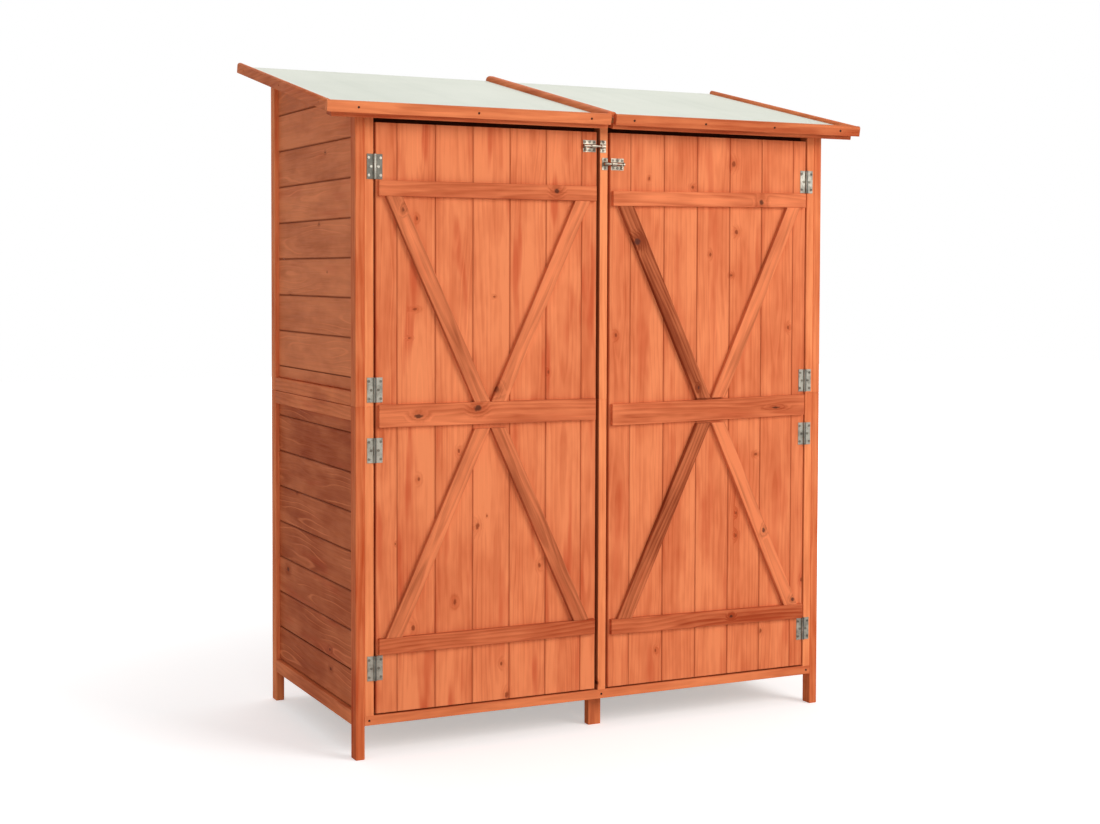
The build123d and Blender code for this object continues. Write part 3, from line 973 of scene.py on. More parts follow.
FRAME_WOOD = WoodFinish(
    "frame_wood", srgb(246, 148, 95), srgb(180, 66, 26), ring_gap=0.012, ring_strength=0.14,
    fibre_strength=0.24, tone_spread=1.0, knot_share=0.25, joint_z=MODULE_JOINT,
)
TRIM_WOOD = WoodFinish(
    "trim_wood", srgb(236, 137, 87), srgb(160, 62, 30), ring_gap=0.012, ring_strength=0.16,
    fibre_strength=0.28, tone_spread=0.9, knot_share=0.25,
)
SIDING_WOOD = WoodFinish(
    "siding_wood", srgb(235, 139, 91), srgb(152, 60, 22), ring_gap=0.014, ring_strength=0.06, ring_pale=0.36,
    fibre_strength=0.16, tone_spread=0.8, knot_share=0.4, knot_size=0.008, edge_dark=0.5, swirl=1.6,
    sway=0.09,
)
# Painted shade: near-black wood for the front top rail, standing in for the shade seen in the gap above the
# doors
SHADED_WOOD = WoodFinish("shaded_wood", srgb(86, 44, 26), srgb(48, 24, 14), knot_share=0.0)
RAW_WOOD = WoodFinish(
    "raw_wood", srgb(214, 172, 120), srgb(168, 120, 74), knot=srgb(92, 60, 36), ring_gap=0.009,
    ring_strength=0.3, edge_dark=0.3,
)
# The topmost left hinge lies to the left of the first number and above the second, in metres
TOP_LEFT_HINGE = (-0.55, 1.3)
HINGE_STEEL = SteelFinish(
    "hinge_steel_finish", srgb(172, 167, 154), srgb(120, 116, 106), seams=(-0.6085, 0.6245),
    dark_reflection_at=TOP_LEFT_HINGE,
)
BOLT_STEEL = SteelFinish("bolt_steel_finish", srgb(184, 173, 155), srgb(112, 101, 88))
SCREW_STEEL = SteelFinish("screw_steel_finish", srgb(132, 125, 112), srgb(88, 82, 74), glint=TOP_LEFT_HINGE)
DARK_STEEL = SteelFinish("sunk_screw_finish", srgb(58, 44, 38), srgb(30, 22, 18), roughness=0.5)
ROOF_SHEET = SheetFinish("roof_sheet_finish", srgb(223, 226, 212), srgb(208, 213, 198))


@dataclass
class Panel:
    """A run of tongued boards that lies over one CAD panel and replaces it."""

    node: str
    body: str
    slot: str
    finish: WoodFinish
    run: Run
    seams: list[float]
    vee: float
    show_low: bool = True
    gap: float = 0.0006
    tones: list[float] = field(default_factory=list)
    tone_play: float = 0.004
    cuts: list[tuple[Vector, Vector]] = field(default_factory=list)
    open_from: float = math.inf
    open_to: float = -math.inf

    def build(self, finishes: Finishes, seed: int) -> Piece:
        """Lays the boards.

        Args:
            finishes: The shed's finishes.
            seed: Picks the boards' tones where none are given.

        Returns:
            The boards as one piece.
        """
        draw = random.Random(seed)
        low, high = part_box(self.node)
        across = "XYZ".index(self.run.value[1])
        stops = [low[across], *self.seams, high[across]]
        spans = list(zip(stops, stops[1:]))
        pitch = max(b - a for a, b in spans)
        pattern = self.pattern_board(low, high, pitch)
        boards = []
        for number, (a, b) in enumerate(spans):
            if self.open_from < (a + b) / 2 < self.open_to:
                continue
            shift = [0.0, 0.0, 0.0]
            shift[across] = a - low[across]
            board = Bench.twin(pattern, f"{self.node}_board_{number}", shift)
            if b - a < pitch - SAME:
                point, normal = list(low), [0.0, 0.0, 0.0]
                point[across] = b - self.gap / 2
                normal[across] = 1.0
                Bench.trim(board, point, normal)
            for point, normal in self.cuts:
                Bench.trim(board, point, normal)
            if not board.data.vertices:
                Bench.remove(board)
                continue
            tone = self.tones[number] if number < len(self.tones) else draw.random()
            Bench.mark(board, self.run.axes(), tone + draw.random() * self.tone_play)
            boards.append(board)
        Bench.remove(pattern)
        made = Bench.join(self.node + "_planks", boards)
        Bench.dress(made, finishes.wood(self.finish))
        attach(made, self.body)
        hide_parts(self.node)
        return made

    def pattern_board(self, low: Vector, high: Vector, pitch: float) -> Piece:
        """Models the one board that the others are copied from.

        Args:
            low: Lowest corner of the panel.
            high: Highest corner of the panel.
            pitch: Width of a whole board with its joint.

        Returns:
            The pattern board.
        """
        along, across, through = ("XYZ".index(axis) for axis in self.run.value)
        a, b = list(low), list(high)
        a[across] = low[across] + self.gap / 2
        b[across] = low[across] + pitch - self.gap / 2
        board = Bench.block(self.node + "_pattern", a, b)
        face = low[through] if self.show_low else high[through]

        def shown_long_edge(p: Vector, q: Vector) -> bool:
            """Says whether an edge runs along the board on its shown face."""
            on_face = abs(p[through] - face) < SAME and abs(q[through] - face) < SAME
            return on_face and abs(p[along] - q[along]) > SAME

        Bench.ease(board, self.vee, shown_long_edge)
        return board


# Height of a ledge's edge if level, and how much lower it sits at its left and right ends
EdgeLine = tuple[float, tuple[float, float]]


@dataclass
class Door:
    """One braced door: boards, ledges and braces."""

    side: str
    seed: int
    seams_from: float
    tones: list[float]
    drops: tuple[tuple[float, float], ...]
    gaps: tuple[float, float]
    brace_tones: tuple[float, float, float, float]
    ledge_tones: tuple[float, float, float]
    woods: tuple[WoodFinish, WoodFinish, WoodFinish]
    board_pitch: float = 0.0995
    board_vee: float = 0.0016
    board_gap: float = 0.0004
    ledge_inset: float = 0.005
    ledges: tuple[tuple[float, float], ...] = ((0.254, 0.039), (0.805, 0.055), (1.362, 0.038))
    ledge_spare: float = 0.01
    brace_width: float = 0.038
    brace_inset: float = 0.017
    brace_gap: float = 0.0005
    brace_spare: float = 0.06
    ease: float = 0.0016

    @property
    def body(self) -> str:
        """The CAD body that the door is."""
        return self.side + "_door"

    @property
    def ledge_ends(self) -> tuple[float, float]:
        """Where the ledges begin and end along the door."""
        low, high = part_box(self.side + "_door_boards")
        return low.x + self.ledge_inset, high.x - self.ledge_inset

    def build(self, finishes: Finishes) -> list[Piece]:
        """Builds the door's three wooden pieces.

        Args:
            finishes: The shed's finishes.

        Returns:
            The boards, the ledges and the braces.
        """
        low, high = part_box(self.side + "_door_boards")
        seams, x = [], low.x + self.seams_from
        while x < high.x - NARROWEST:
            seams.append(x)
            x += self.board_pitch
        boards = Panel(
            self.side + "_door_boards", self.body, "door_wood", self.woods[0], Run.UPRIGHT, seams,
            self.board_vee, gap=self.board_gap, tones=self.tones,
        )
        return [boards.build(finishes, self.seed), self.build_ledges(finishes), self.build_braces(finishes)]

    def edge(self, line: EdgeLine, x: float) -> float:
        """Finds the height of a ledge's edge, which may be a little out of level.

        Args:
            line: The edge.
            x: Place along the door.

        Returns:
            The height.
        """
        z, drops = line
        start, stop = self.ledge_ends
        share = (x - start) / (stop - start)
        return z - drops[0] * (1 - share) - drops[1] * share

    def build_ledges(self, finishes: Finishes) -> Piece:
        """Builds the three ledges.

        Args:
            finishes: The shed's finishes.

        Returns:
            The ledges as one piece.
        """
        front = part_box(self.side + "_door_boards")[0].y
        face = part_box(self.side + "_door_ledges")[0].y
        x0, x1 = self.ledge_ends
        made = []
        for number, ((z, tall), drops) in enumerate(zip(self.ledges, self.drops)):
            za, zb = self.edge((z, drops), x0), self.edge((z, drops), x1)
            slope = math.atan2(zb - za, x1 - x0)
            middle = (za + zb) / 2 + tall / 2
            half = (x1 - x0) / 2 / math.cos(slope) + self.ledge_spare
            centre = (x0 + x1) / 2
            ledge = Bench.block(
                f"{self.side}_ledge_{number}",
                (centre - half, face, middle - tall / 2),
                (centre + half, front, middle + tall / 2),
                -slope,
            )
            Bench.trim(ledge, (x0, 0, 0), (-1, 0, 0))
            Bench.trim(ledge, (x1, 0, 0), (1, 0, 0))
            Bench.ease(ledge, self.ease, on_front(face), 2)
            Bench.mark(ledge, Run.ALONG_FRONT.axes(), self.ledge_tones[number])
            made.append(ledge)
        piece = Bench.join(self.side + "_ledges", made)
        Bench.dress(piece, finishes.wood(self.woods[1]))
        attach(piece, self.body)
        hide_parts(self.side + "_door_ledges")
        return piece

    def build_braces(self, finishes: Finishes) -> Piece:
        """Builds the four braces, each cut to its ledges.

        Args:
            finishes: The shed's finishes.

        Returns:
            The braces as one piece.
        """
        x0, x1 = self.ledge_ends
        (zb, tb), (zm, tm), (zt, _) = self.ledges
        above, below = self.gaps
        bottom, mid, top = self.drops
        rows = (
            ((zt, top), (zm + tm + above, mid), 1),
            ((zb + tb, bottom), (zm - below, mid), -1),
        )
        made = []
        for row, (outer_line, inner_line, up) in enumerate(rows):
            for column, (outer, sign) in enumerate(((x0 + self.brace_inset, 1), (x1 - self.brace_inset, -1))):
                name = f"{self.side}_brace_{row}{column}"
                tone = self.brace_tones[row * 2 + column]
                made.append(self.saw_brace(name, outer, sign, outer_line, inner_line, up, tone))
        piece = Bench.join(self.side + "_braces", made)
        Bench.dress(piece, finishes.wood(self.woods[2]))
        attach(piece, self.body)
        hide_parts(self.side + "_door_braces")
        return piece

    def saw_brace(
        self, name: str, outer: float, sign: int, outer_line: EdgeLine, inner_line: EdgeLine, up: int,
        tone: float,
    ) -> Piece:
        """Saws one brace to fit between two ledges.

        Args:
            name: Name of the brace.
            outer: Where its outer corner stands along the door.
            sign: 1 where it leans to the right from there, -1 where it leans to the left.
            outer_line: Edge of the ledge at its outer end.
            inner_line: Edge of the ledge at its inner end.
            up: 1 where the outer end is the upper one, otherwise -1.
            tone: Depth of its stain.

        Returns:
            The brace.
        """
        low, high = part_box(self.side + "_door_boards")
        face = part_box(self.side + "_door_braces")[0].y
        x0, x1 = self.ledge_ends
        middle = (low.x + high.x) / 2
        angle = math.atan2(abs(middle - outer), abs(outer_line[0] - inner_line[0]))
        cut = self.brace_width / math.cos(angle)
        foot = outer + sign * cut / 2
        tip = middle - sign * (self.brace_gap + cut / 2)
        a = Vector((foot, 0, self.edge(outer_line, foot)))
        b = Vector((tip, 0, self.edge(inner_line, tip)))
        along = (b - a).normalized()
        centre, reach = (a + b) / 2, (b - a).length / 2 + self.brace_spare
        half = self.brace_width / 2
        brace = Bench.block(
            name,
            (centre.x - half, face, centre.z - reach),
            (centre.x + half, low.y, centre.z + reach),
            math.atan2(along.x, along.z),
        )
        for line, outward in ((outer_line, up), (inner_line, -up)):
            left_z, right_z = self.edge(line, x0), self.edge(line, x1)
            direction = Vector((x1 - x0, 0, right_z - left_z)).normalized()
            normal = Vector((-direction.z, 0, direction.x)) * outward
            Bench.trim(brace, (x0, 0, left_z), normal)
        Bench.ease(brace, self.ease, on_front(face), 2)
        Bench.mark(brace, (along, Vector((along.z, 0, -along.x)), Vector((0, 1, 0))), tone)
        return brace


@dataclass
class Walls:
    """Siding of both sides and the back, and the floor inside."""

    pitch: float = 0.097
    first: float = 0.067
    rail: float = 0.035
    siding_vee: float = 0.0026
    floor_first: float = 0.06
    floor_vee: float = 0.001
    low_tone: float = 0.92
    high_tone: float = 0.46
    tone_play: float = 0.12
    board_seed: int = 40
    floor_seed: int = 50
    tone_seed: int = 60

    def seams(self, low: float, high: float) -> list[float]:
        """Counts the board joints from the module joint both ways.

        Args:
            low: Height at which the boards begin.
            high: Height at which they end.

        Returns:
            Heights of the joints.
        """
        found, z = [], MODULE_JOINT + self.first
        while z < high - NARROWEST:
            found.append(z)
            z += self.pitch
        z = MODULE_JOINT - self.first
        while z > low + NARROWEST:
            found.append(z)
            z -= self.pitch
        return sorted(z for z in found if low + NARROWEST < z < high - NARROWEST)

    def build(self, finishes: Finishes) -> list[Piece]:
        """Builds the walls' boards and the floor.

        Args:
            finishes: The shed's finishes.

        Returns:
            The three walls and the floor.
        """
        names = ("left_siding", "right_siding", "back_siding")
        made = [self.build_wall(number, node, finishes) for number, node in enumerate(names)]
        low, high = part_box("floor_boards")
        seams, y = [], low.y + self.floor_first
        while y < high.y - NARROWEST:
            seams.append(y)
            y += self.pitch
        floor = Panel(
            "floor_boards", "root", "floor_wood", RAW_WOOD, Run.LYING, seams, self.floor_vee, show_low=False
        )
        made.append(floor.build(finishes, self.floor_seed))
        return made

    def build_wall(self, number: int, node: str, finishes: Finishes) -> Piece:
        """Lays one wall's boards, leaving out the one behind the rails of the module joint.

        Args:
            number: Number of the wall, which picks its tones.
            node: The CAD node that they replace.
            finishes: The shed's finishes.

        Returns:
            The wall's boards as one piece.
        """
        low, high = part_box(node)
        gaps = [MODULE_JOINT - self.rail, MODULE_JOINT + self.rail]
        seams = sorted([*self.seams(low.z, high.z), *gaps])
        edges = [low.z, *seams, high.z]
        draw = random.Random(self.tone_seed + number)
        tones = []
        for a, b in zip(edges, edges[1:]):
            tone = self.low_tone if a + b < 2 * MODULE_JOINT else self.high_tone
            tones.append(tone + draw.uniform(-self.tone_play, self.tone_play))
        across_back = node == "back_siding"
        panel = Panel(
            node, "root", "siding_wood", SIDING_WOOD, Run.ALONG_FRONT if across_back else Run.ALONG_SIDE,
            seams, self.siding_vee, show_low=node == "left_siding", tones=tones, open_from=gaps[0],
            open_to=gaps[1],
        )
        if not across_back:
            slope = Vector((0, -math.tan(ROOF_PITCH), 1)).normalized()
            panel.cuts = [(Vector((0, high.y, high.z)), slope)]
        return panel.build(finishes, self.board_seed + number)


@dataclass
class Timber:
    """CAD timbers whose shape is right, each given stained wood along its own grain."""

    pieces: tuple[tuple[str, WoodFinish, Run, float], ...] = (
        ("front_left_post", FRAME_WOOD, Run.UPRIGHT, 0.85),
        ("front_right_post", FRAME_WOOD, Run.UPRIGHT, 0.72),
        ("rear_left_post", FRAME_WOOD, Run.UPRIGHT_SIDE, 0.55),
        ("rear_right_post", FRAME_WOOD, Run.UPRIGHT_SIDE, 0.5),
        ("left_hinge_stile", FRAME_WOOD, Run.UPRIGHT, 0.44),
        ("right_hinge_stile", FRAME_WOOD, Run.UPRIGHT, 0.42),
        ("centre_stile", FRAME_WOOD, Run.UPRIGHT, 0.31),
        ("centre_leg", TRIM_WOOD, Run.UPRIGHT, 0.6),
        ("sill", TRIM_WOOD, Run.ALONG_FRONT, 0.45),
        ("centre_splice_board", TRIM_WOOD, Run.UPRIGHT, 0.7),
        ("left_side_rails", TRIM_WOOD, Run.ALONG_SIDE, 0.5),
        ("right_side_rails", TRIM_WOOD, Run.ALONG_SIDE, 0.5),
        ("back_rails", TRIM_WOOD, Run.ALONG_FRONT, 0.55),
        # Painted shade: the front top rail is near black, as the shade above the doors
        ("front_top_rail", SHADED_WOOD, Run.ALONG_FRONT, 0.6),
        ("floor_bearers", RAW_WOOD, Run.ALONG_FRONT, 0.5),
        ("eaves_battens", TRIM_WOOD, Run.ALONG_FRONT, 0.9),
        ("left_roof_deck", RAW_WOOD, Run.LYING, 0.4),
        ("right_roof_deck", RAW_WOOD, Run.LYING, 0.6),
    )

    def build(self, finishes: Finishes, nodes: dict[str, Piece]) -> list[Piece]:
        """Dresses the timbers and returns them.

        Args:
            finishes: The shed's finishes.
            nodes: The CAD nodes.

        Returns:
            The dressed nodes.
        """
        for name, finish, run, tone in self.pieces:
            low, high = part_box(name)
            # The centre stile's left side face, in the gap beside the left door, gets painted shade
            if name == "centre_stile":
                finish = replace(finish, name="centre_stile_wood", dark_face_x=low.x)
            Bench.dress(nodes[name], finishes.wood(finish, run, tone, (low + high) / 2))
        return [nodes[name] for name, *_ in self.pieces]


@dataclass
class Roof:
    """Roof sheets, edge boards and the cover batten."""

    boards: tuple[tuple[str, Run, float], ...] = (
        ("left_fascia", Run.ALONG_FRONT, 0.42),
        ("right_fascia", Run.ALONG_FRONT, 0.85),
        ("left_barge_board", Run.ALONG_SIDE, 0.6),
        ("right_barge_board", Run.ALONG_SIDE, 0.5),
        ("cover_batten", Run.LYING_DEEP, 0.66),
    )

    def build(self, finishes: Finishes, nodes: dict[str, Piece]) -> list[Piece]:
        """Dresses the roof.

        Args:
            finishes: The shed's finishes.
            nodes: The CAD nodes.

        Returns:
            The roof's pieces.
        """
        made = [nodes["left_roof_sheet"], nodes["right_roof_sheet"]]
        for sheet in made:
            Bench.dress(sheet, finishes.plain(ROOF_SHEET))
        for name, run, tone in self.boards:
            low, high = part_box(name)
            Bench.dress(nodes[name], finishes.wood(TRIM_WOOD, run, tone, (low + high) / 2))
            made.append(nodes[name])
        return made


@dataclass
class SunkScrews:
    """Countersunk screws of the roof's edge boards and the sill, each set in a bored copy of its board."""

    slot: str = "trim_wood"
    sides: int = 20
    head: float = 0.0036
    taper: float = 0.6
    depth: float = 0.0026
    lip: float = 0.0003
    seat: float = 0.0012
    fit: float = 0.74
    left_count: int = 3
    right_count: int = 4
    barge_count: int = 3
    left_ends: tuple[float, float] = (0.077, 0.055)
    right_ends: tuple[float, float] = (0.052, 0.063)
    barge_ends: tuple[float, float] = (0.057, 0.066)

    def plug(self, point: Vector, outward: Vector, wide: float, start: float, depth: float) -> Piece:
        """Adds a tapered round plug whose wide end faces outward.

        Args:
            point: Middle of the screw on the board's face.
            outward: Unit vector out of the face.
            wide: Radius of the wide end.
            start: How far below the face the wide end lies.
            depth: Length of the plug.

        Returns:
            The plug.
        """
        Bench.clear()
        bpy.ops.mesh.primitive_cone_add(
            vertices=self.sides, radius1=wide, radius2=wide * self.taper, depth=depth,
            location=point - outward * (start + depth / 2),
            rotation=outward.to_track_quat("-Z", "Y").to_euler(),
        )
        return Bench.settle("plug")

    def bore(
        self, node: Piece, points: Sequence[Vector], outward: Vector, finishes: Finishes
    ) -> list[Piece]:
        """Bores a merged copy of a board and sets a dark screw in each hole.

        Args:
            node: The CAD board, already dressed.
            points: Where the screws lie, which are moved out to its face.
            outward: Unit vector out of that face.
            finishes: The shed's finishes.

        Returns:
            The bored board and its screws.
        """
        name = node.name
        face = max(vertex.co.dot(outward) for vertex in node.data.vertices)
        points = [point + outward * (face - point.dot(outward)) for point in points]
        board = bpy.data.objects.new(name + "_bored", node.data.copy())
        bpy.context.scene.collection.objects.link(board)
        Bench.only(board)
        bpy.ops.object.mode_set(mode="EDIT")
        bpy.ops.mesh.select_all(action="SELECT")
        bpy.ops.mesh.remove_doubles(threshold=SAME)
        bpy.ops.object.mode_set(mode="OBJECT")
        holes = [self.plug(p, outward, self.head, -self.lip, self.depth) for p in points]
        Bench.carve(board, Bench.join("holes", holes))
        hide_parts(name)
        sunk = self.depth - self.lip - self.seat
        plugs = [self.plug(p, outward, self.head * self.fit, self.seat, sunk) for p in points]
        screws = Bench.join(name + "_screws", plugs)
        Bench.dress(screws, finishes.plain(DARK_STEEL))
        for piece, slot in ((board, self.slot), (screws, "bolt_steel")):
            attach(piece, "root")
        return [board, screws]

    def build(self, finishes: Finishes, nodes: dict[str, Piece]) -> list[Piece]:
        """Bores the fascias, the barge boards and the sill, and returns the boards and screws.

        Args:
            finishes: The shed's finishes.
            nodes: The CAD nodes, already dressed.

        Returns:
            The bored boards and their screws.
        """
        made = []
        down_slope = Vector((0, -math.cos(ROOF_PITCH), -math.sin(ROOF_PITCH)))
        for side, count, ends in (
            ("left", self.left_count, self.left_ends), ("right", self.right_count, self.right_ends)
        ):
            low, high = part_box(side + "_fascia")
            middle = (low + high) / 2
            places = evenly(low.x + ends[0], high.x - ends[1], count)
            points = [Vector((x, middle.y, middle.z)) for x in places]
            made += self.bore(nodes[side + "_fascia"], points, down_slope, finishes)
            low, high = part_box(side + "_barge_board")
            middle = (low + high) / 2
            outward = Vector((-1 if side == "left" else 1, 0, 0))
            places = evenly(low.y + self.barge_ends[0], high.y - self.barge_ends[1], self.barge_count)
            rise = math.tan(ROOF_PITCH)
            points = [Vector((middle.x, y, middle.z + (y - middle.y) * rise)) for y in places]
            made += self.bore(nodes[side + "_barge_board"], points, outward, finishes)
        low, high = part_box("sill")
        points = []
        for stile in ("left_hinge_stile", "centre_stile", "right_hinge_stile"):
            a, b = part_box(stile)
            points.append(Vector(((a.x + b.x) / 2, low.y, (low.z + high.z) / 2)))
        made += self.bore(nodes["sill"], points, Vector((0, -1, 0)), finishes)
        return made


@dataclass
class Ironwork:
    """Screws of the hinges and bolts, over the CAD leaves and plates."""

    head: float = 0.0034
    proud: float = 0.0011
    sides: int = 16
    slot_reach: float = 0.62
    slot_half_width: float = 0.14
    slot_floor: float = 0.35
    slot_front: float = 0.01
    leaf_face: float = 0.0016
    plate_face: float = 0.0014
    near_edge: float = 0.0045
    far_edge: float = 0.0105
    rise: float = 0.021
    plate_edge: float = 0.0048
    left_rows: tuple[float, ...] = (1.432, 0.896, 0.750, 0.221)
    right_rows: tuple[float, ...] = (1.4285, 0.8905, 0.7455, 0.210)
    plate_shares: tuple[float, ...] = (0.14, 0.5, 0.86)
    keeper_shares: tuple[float, ...] = (0.5,)
    hinges: tuple[str, ...] = (
        "left_frame_hinges", "right_frame_hinges", "left_door_hinges", "right_door_hinges",
    )
    fastenings: tuple[str, ...] = (
        "left_keeper", "right_keeper", "left_bolt_plate", "right_bolt_plate", "left_bolt", "right_bolt",
    )

    def pattern(self) -> Piece:
        """Models one cross-slotted screw head that faces the front.

        Returns:
            The pattern screw.
        """
        head = Bench.rod("screw_pattern", self.head, self.proud * 2, self.sides)
        Bench.ease(head, self.proud * 0.5, lambda p, q: p.y < 0 and q.y < 0, 2)
        long, short = self.head * self.slot_reach, self.head * self.slot_half_width
        for x, z in ((long, short), (short, long)):
            slot = Bench.block("slot", (-x, -self.slot_front, -z), (x, -self.proud * self.slot_floor, z))
            Bench.carve(head, slot)
        return head

    def build(self, finishes: Finishes, nodes: dict[str, Piece]) -> list[Piece]:
        """Dresses the steel nodes and adds their screws.

        Args:
            finishes: The shed's finishes.
            nodes: The CAD nodes.

        Returns:
            The steel pieces.
        """
        for names, finish in ((self.hinges, HINGE_STEEL), (self.fastenings, BOLT_STEEL)):
            for name in names:
                Bench.dress(nodes[name], finishes.plain(finish))
        made = [nodes[name] for name in (*self.hinges, *self.fastenings)]
        pattern = self.pattern()
        for side in ("left", "right"):
            door = side + "_door"
            made.append(self.hinge_screws(pattern, side, "frame", "root", finishes))
            made.append(self.hinge_screws(pattern, side, "door", door, finishes))
            plate, keeper = side + "_bolt_plate", side + "_keeper"
            made.append(self.plate_screws(pattern, side, plate, door, self.plate_shares, finishes))
            made.append(self.plate_screws(pattern, side, keeper, "root", self.keeper_shares, finishes))
        Bench.remove(pattern)
        return made

    def hinge_screws(self, pattern: Piece, side: str, leaf: str, body: str, finishes: Finishes) -> Piece:
        """Sets three screws in each leaf on one side of a door's hinges.

        Args:
            pattern: The pattern screw.
            side: The door's side.
            leaf: Whether the leaves are those on the frame or on the door.
            body: The CAD body that they ride on.
            finishes: The shed's finishes.

        Returns:
            The screws as one piece.
        """
        low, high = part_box(f"{side}_{leaf}_hinges")
        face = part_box(side + "_door_boards")[0].y - self.leaf_face
        outer_low = (side == "left") == (leaf == "frame")
        near, far = (
            low.x + inset if outer_low else high.x - inset for inset in (self.near_edge, self.far_edge)
        )
        heads = []
        for z in self.left_rows if side == "left" else self.right_rows:
            for x, up in ((near, self.rise), (far, 0.0), (near, -self.rise)):
                heads.append(Bench.twin(pattern, "screw", (x, face, z + up)))
        screws = Bench.join(f"{side}_{leaf}_hinge_screws", heads)
        Bench.dress(screws, finishes.plain(SCREW_STEEL))
        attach(screws, body)
        return screws

    def plate_screws(
        self, pattern: Piece, side: str, node: str, body: str, shares: tuple[float, ...], finishes: Finishes
    ) -> Piece:
        """Sets pairs of screws, one above the other, in a bolt's plate or keeper.

        Args:
            pattern: The pattern screw.
            side: The door's side.
            node: The CAD node that they hold.
            body: The CAD body that they ride on.
            shares: Where the pairs stand, as shares of the node's width.
            finishes: The shed's finishes.

        Returns:
            The screws as one piece.
        """
        low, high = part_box(node)
        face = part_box(side + "_door_boards")[0].y - self.plate_face
        heads = []
        for share in shares:
            for z in (low.z + self.plate_edge, high.z - self.plate_edge):
                heads.append(Bench.twin(pattern, "screw", (low.x + share * (high.x - low.x), face, z)))
        screws = Bench.join(f"{node}_screws", heads)
        Bench.dress(screws, finishes.plain(SCREW_STEEL))
        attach(screws, body)
        return screws


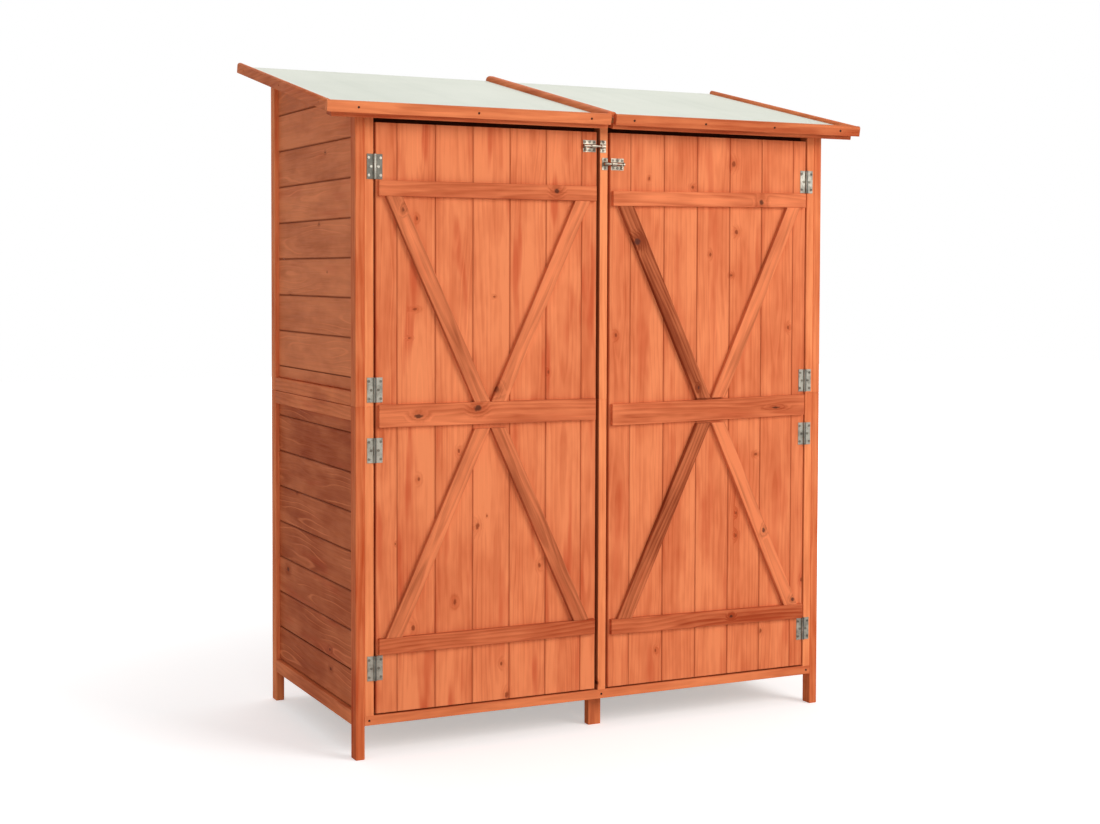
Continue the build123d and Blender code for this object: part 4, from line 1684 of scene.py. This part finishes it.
@dataclass
class Studio:
    """Floor, backdrop, lamps and the camera at the photograph's viewing angle."""

    place: tuple[float, float, float] = (-2.03495, -4.31196, 1.17699)
    azimuth: float = 26.862
    fall: float = 2.301
    roll: float = 0.248
    focal: float = 1752.7
    principal: tuple[float, float] = (596.3, 344.5)
    frame: tuple[int, int] = (1100, 824)
    sensor: float = 36.0
    floor_size: float = 30.0
    glow_from: float = 0.8
    glow_to: float = 3.5
    glow_near: float = 0.42
    sky_light: float = 0.46
    sky_seen: float = 1.0
    lamps: tuple[tuple[str, tuple[float, ...], tuple[float, ...], float, float], ...] = (
        ("key", (3.2, -5.0, 3.6), (0.0, 0.0, 0.9), 3.0, 205.0),
        ("fill", (-2.2, -5.5, 2.2), (0.0, 0.0, 0.8), 3.0, 38.0),
        ("top", (0.2, 1.3, 4.2), (0.0, 0.1, 1.6), 2.6, 26.0),
    )

    def set_camera(self) -> None:
        """Sets the camera."""
        az, el, turn = (math.radians(v) for v in (self.azimuth, self.fall, self.roll))
        ahead = Vector((math.sin(az) * math.cos(el), math.cos(az) * math.cos(el), -math.sin(el)))
        right = Vector((math.cos(az), -math.sin(az), 0))
        up = right.cross(ahead)
        x_axis = right * math.cos(turn) + up * math.sin(turn)
        y_axis = -right * math.sin(turn) + up * math.cos(turn)
        data = bpy.data.cameras.new("camera")
        wide, tall = self.frame
        data.sensor_width = self.sensor
        data.lens = self.focal / wide * self.sensor
        data.shift_x = (wide / 2 - self.principal[0]) / wide
        data.shift_y = (self.principal[1] - tall / 2) / wide
        data.clip_start, data.clip_end = 0.05, 60.0
        rig = bpy.data.objects.new("camera", data)
        bpy.context.scene.collection.objects.link(rig)
        turned = Matrix((x_axis, y_axis, -ahead)).transposed()
        rig.matrix_world = Matrix.Translation(self.place) @ turned.to_4x4()
        bpy.context.scene.camera = rig

    def lay_floor(self) -> None:
        """Lays the pale floor, which shows white to the camera and keeps the shadow."""
        Bench.clear()
        bpy.ops.mesh.primitive_plane_add(size=1, location=(0, 0, 0), scale=(1, 1, 1))
        ground = bpy.context.object
        ground.name = "studio_floor"
        ground.data.transform(Matrix.Scale(self.floor_size, 4))
        s = Shader("studio_floor_finish")
        at = s.node("TexCoord").outputs["Object"]
        cloud = s.noise(at, 0.6)
        s.put(s.surface.inputs["Base Color"], s.mix(cloud, (0.90, 0.90, 0.90), (0.94, 0.94, 0.94)))
        s.surface.inputs["Roughness"].default_value = 0.9
        s.surface.inputs["Specular IOR Level"].default_value = 0.0
        s.put(s.surface.inputs["Emission Color"], (1.0, 1.0, 1.0, 1.0))
        seen = s.node("LightPath").outputs["Is Camera Ray"]
        glow = s.step(s.length(at), self.glow_from, self.glow_to, self.glow_near, 1.0)
        s.put(s.surface.inputs["Emission Strength"], s.math("MULTIPLY", seen, glow))
        Bench.dress(ground, s.material)

    def set_sky(self) -> None:
        """Sets the pale world, brighter to the camera and in reflections than as a light."""
        world = bpy.data.worlds.new("studio")
        bpy.context.scene.world = world
        world.use_nodes = True
        tree = world.node_tree
        tree.nodes.clear()
        out = tree.nodes.new("ShaderNodeOutputWorld")
        path = tree.nodes.new("ShaderNodeLightPath")
        mix = tree.nodes.new("ShaderNodeMixShader")
        for index, strength in ((1, self.sky_light), (2, self.sky_seen)):
            sky = tree.nodes.new("ShaderNodeBackground")
            sky.inputs["Color"].default_value = (1.0, 1.0, 1.0, 1.0)
            sky.inputs["Strength"].default_value = strength
            tree.links.new(sky.outputs[0], mix.inputs[index])
        seen = path.outputs["Is Camera Ray"]
        for ray in ("Is Transmission Ray", "Is Glossy Ray"):
            either = tree.nodes.new("ShaderNodeMath")
            either.operation = "MAXIMUM"
            tree.links.new(seen, either.inputs[0])
            tree.links.new(path.outputs[ray], either.inputs[1])
            seen = either.outputs[0]
        tree.links.new(seen, mix.inputs[0])
        tree.links.new(mix.outputs[0], out.inputs["Surface"])

    def set_lamps(self) -> None:
        """Sets the soft lamps, each aimed at a place on the shed."""
        for name, place, aim, size, power in self.lamps:
            data = bpy.data.lights.new(name, "AREA")
            data.shape, data.size, data.energy = "SQUARE", size, power
            lamp = bpy.data.objects.new(name, data)
            bpy.context.scene.collection.objects.link(lamp)
            lamp.location = place
            lamp.rotation_mode = "QUATERNION"
            lamp.rotation_quaternion = (Vector(aim) - Vector(place)).to_track_quat("-Z", "Y")

    def build(self) -> None:
        """Sets up the whole studio."""
        self.set_camera()
        self.lay_floor()
        self.set_sky()
        self.set_lamps()
        bpy.context.scene.view_settings.view_transform = "Standard"


def report(pieces: Iterable[Piece]) -> None:
    """Logs each piece with its number of faces."""
    for piece in pieces:
        log.info("%s: %d faces", piece.name, len(piece.data.polygons))


def main() -> None:
    """Loads the frame, builds and dresses every piece, and sets the studio."""
    logging.basicConfig(level=logging.INFO, format="%(name)s %(message)s")
    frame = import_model()
    nodes = frame["nodes"]
    finishes = Finishes()
    report(Timber().build(finishes, nodes))
    report(Walls().build(finishes))
    report(
        Door(
            "left", 11, 0.054, [0.5, 0.3, 0.45, 0.2, 0.4, 0.48, 0.58], drops=((0, 0), (0, 0), (0, 0)),
            gaps=(0.0, 0.011), brace_tones=(0.6, 0.32, 0.56, 0.66), ledge_tones=(0.88, 0.64, 0.7),
            woods=(LEFT_DOOR_WOOD, LEFT_LEDGE_WOOD, LEFT_BRACE_WOOD),
        ).build(finishes)
    )
    report(
        Door(
            "right", 12, 0.060, [0.56, 0.44, 0.52, 0.3, 0.6, 0.56, 0.7],
            drops=((0.0065, 0.013), (0.017, 0.0075), (0.011, 0.003)), gaps=(0.004, 0.007),
            brace_tones=(1.05, 0.42, 1.02, 0.44), ledge_tones=(1.0, 0.66, 0.55),
            woods=(RIGHT_DOOR_WOOD, RIGHT_LEDGE_WOOD, RIGHT_BRACE_WOOD),
        ).build(finishes)
    )
    report(Ironwork().build(finishes, nodes))
    report(Roof().build(finishes, nodes))
    report(SunkScrews().build(finishes, nodes))
    Studio().build()


if __name__ == "__main__":
    main()
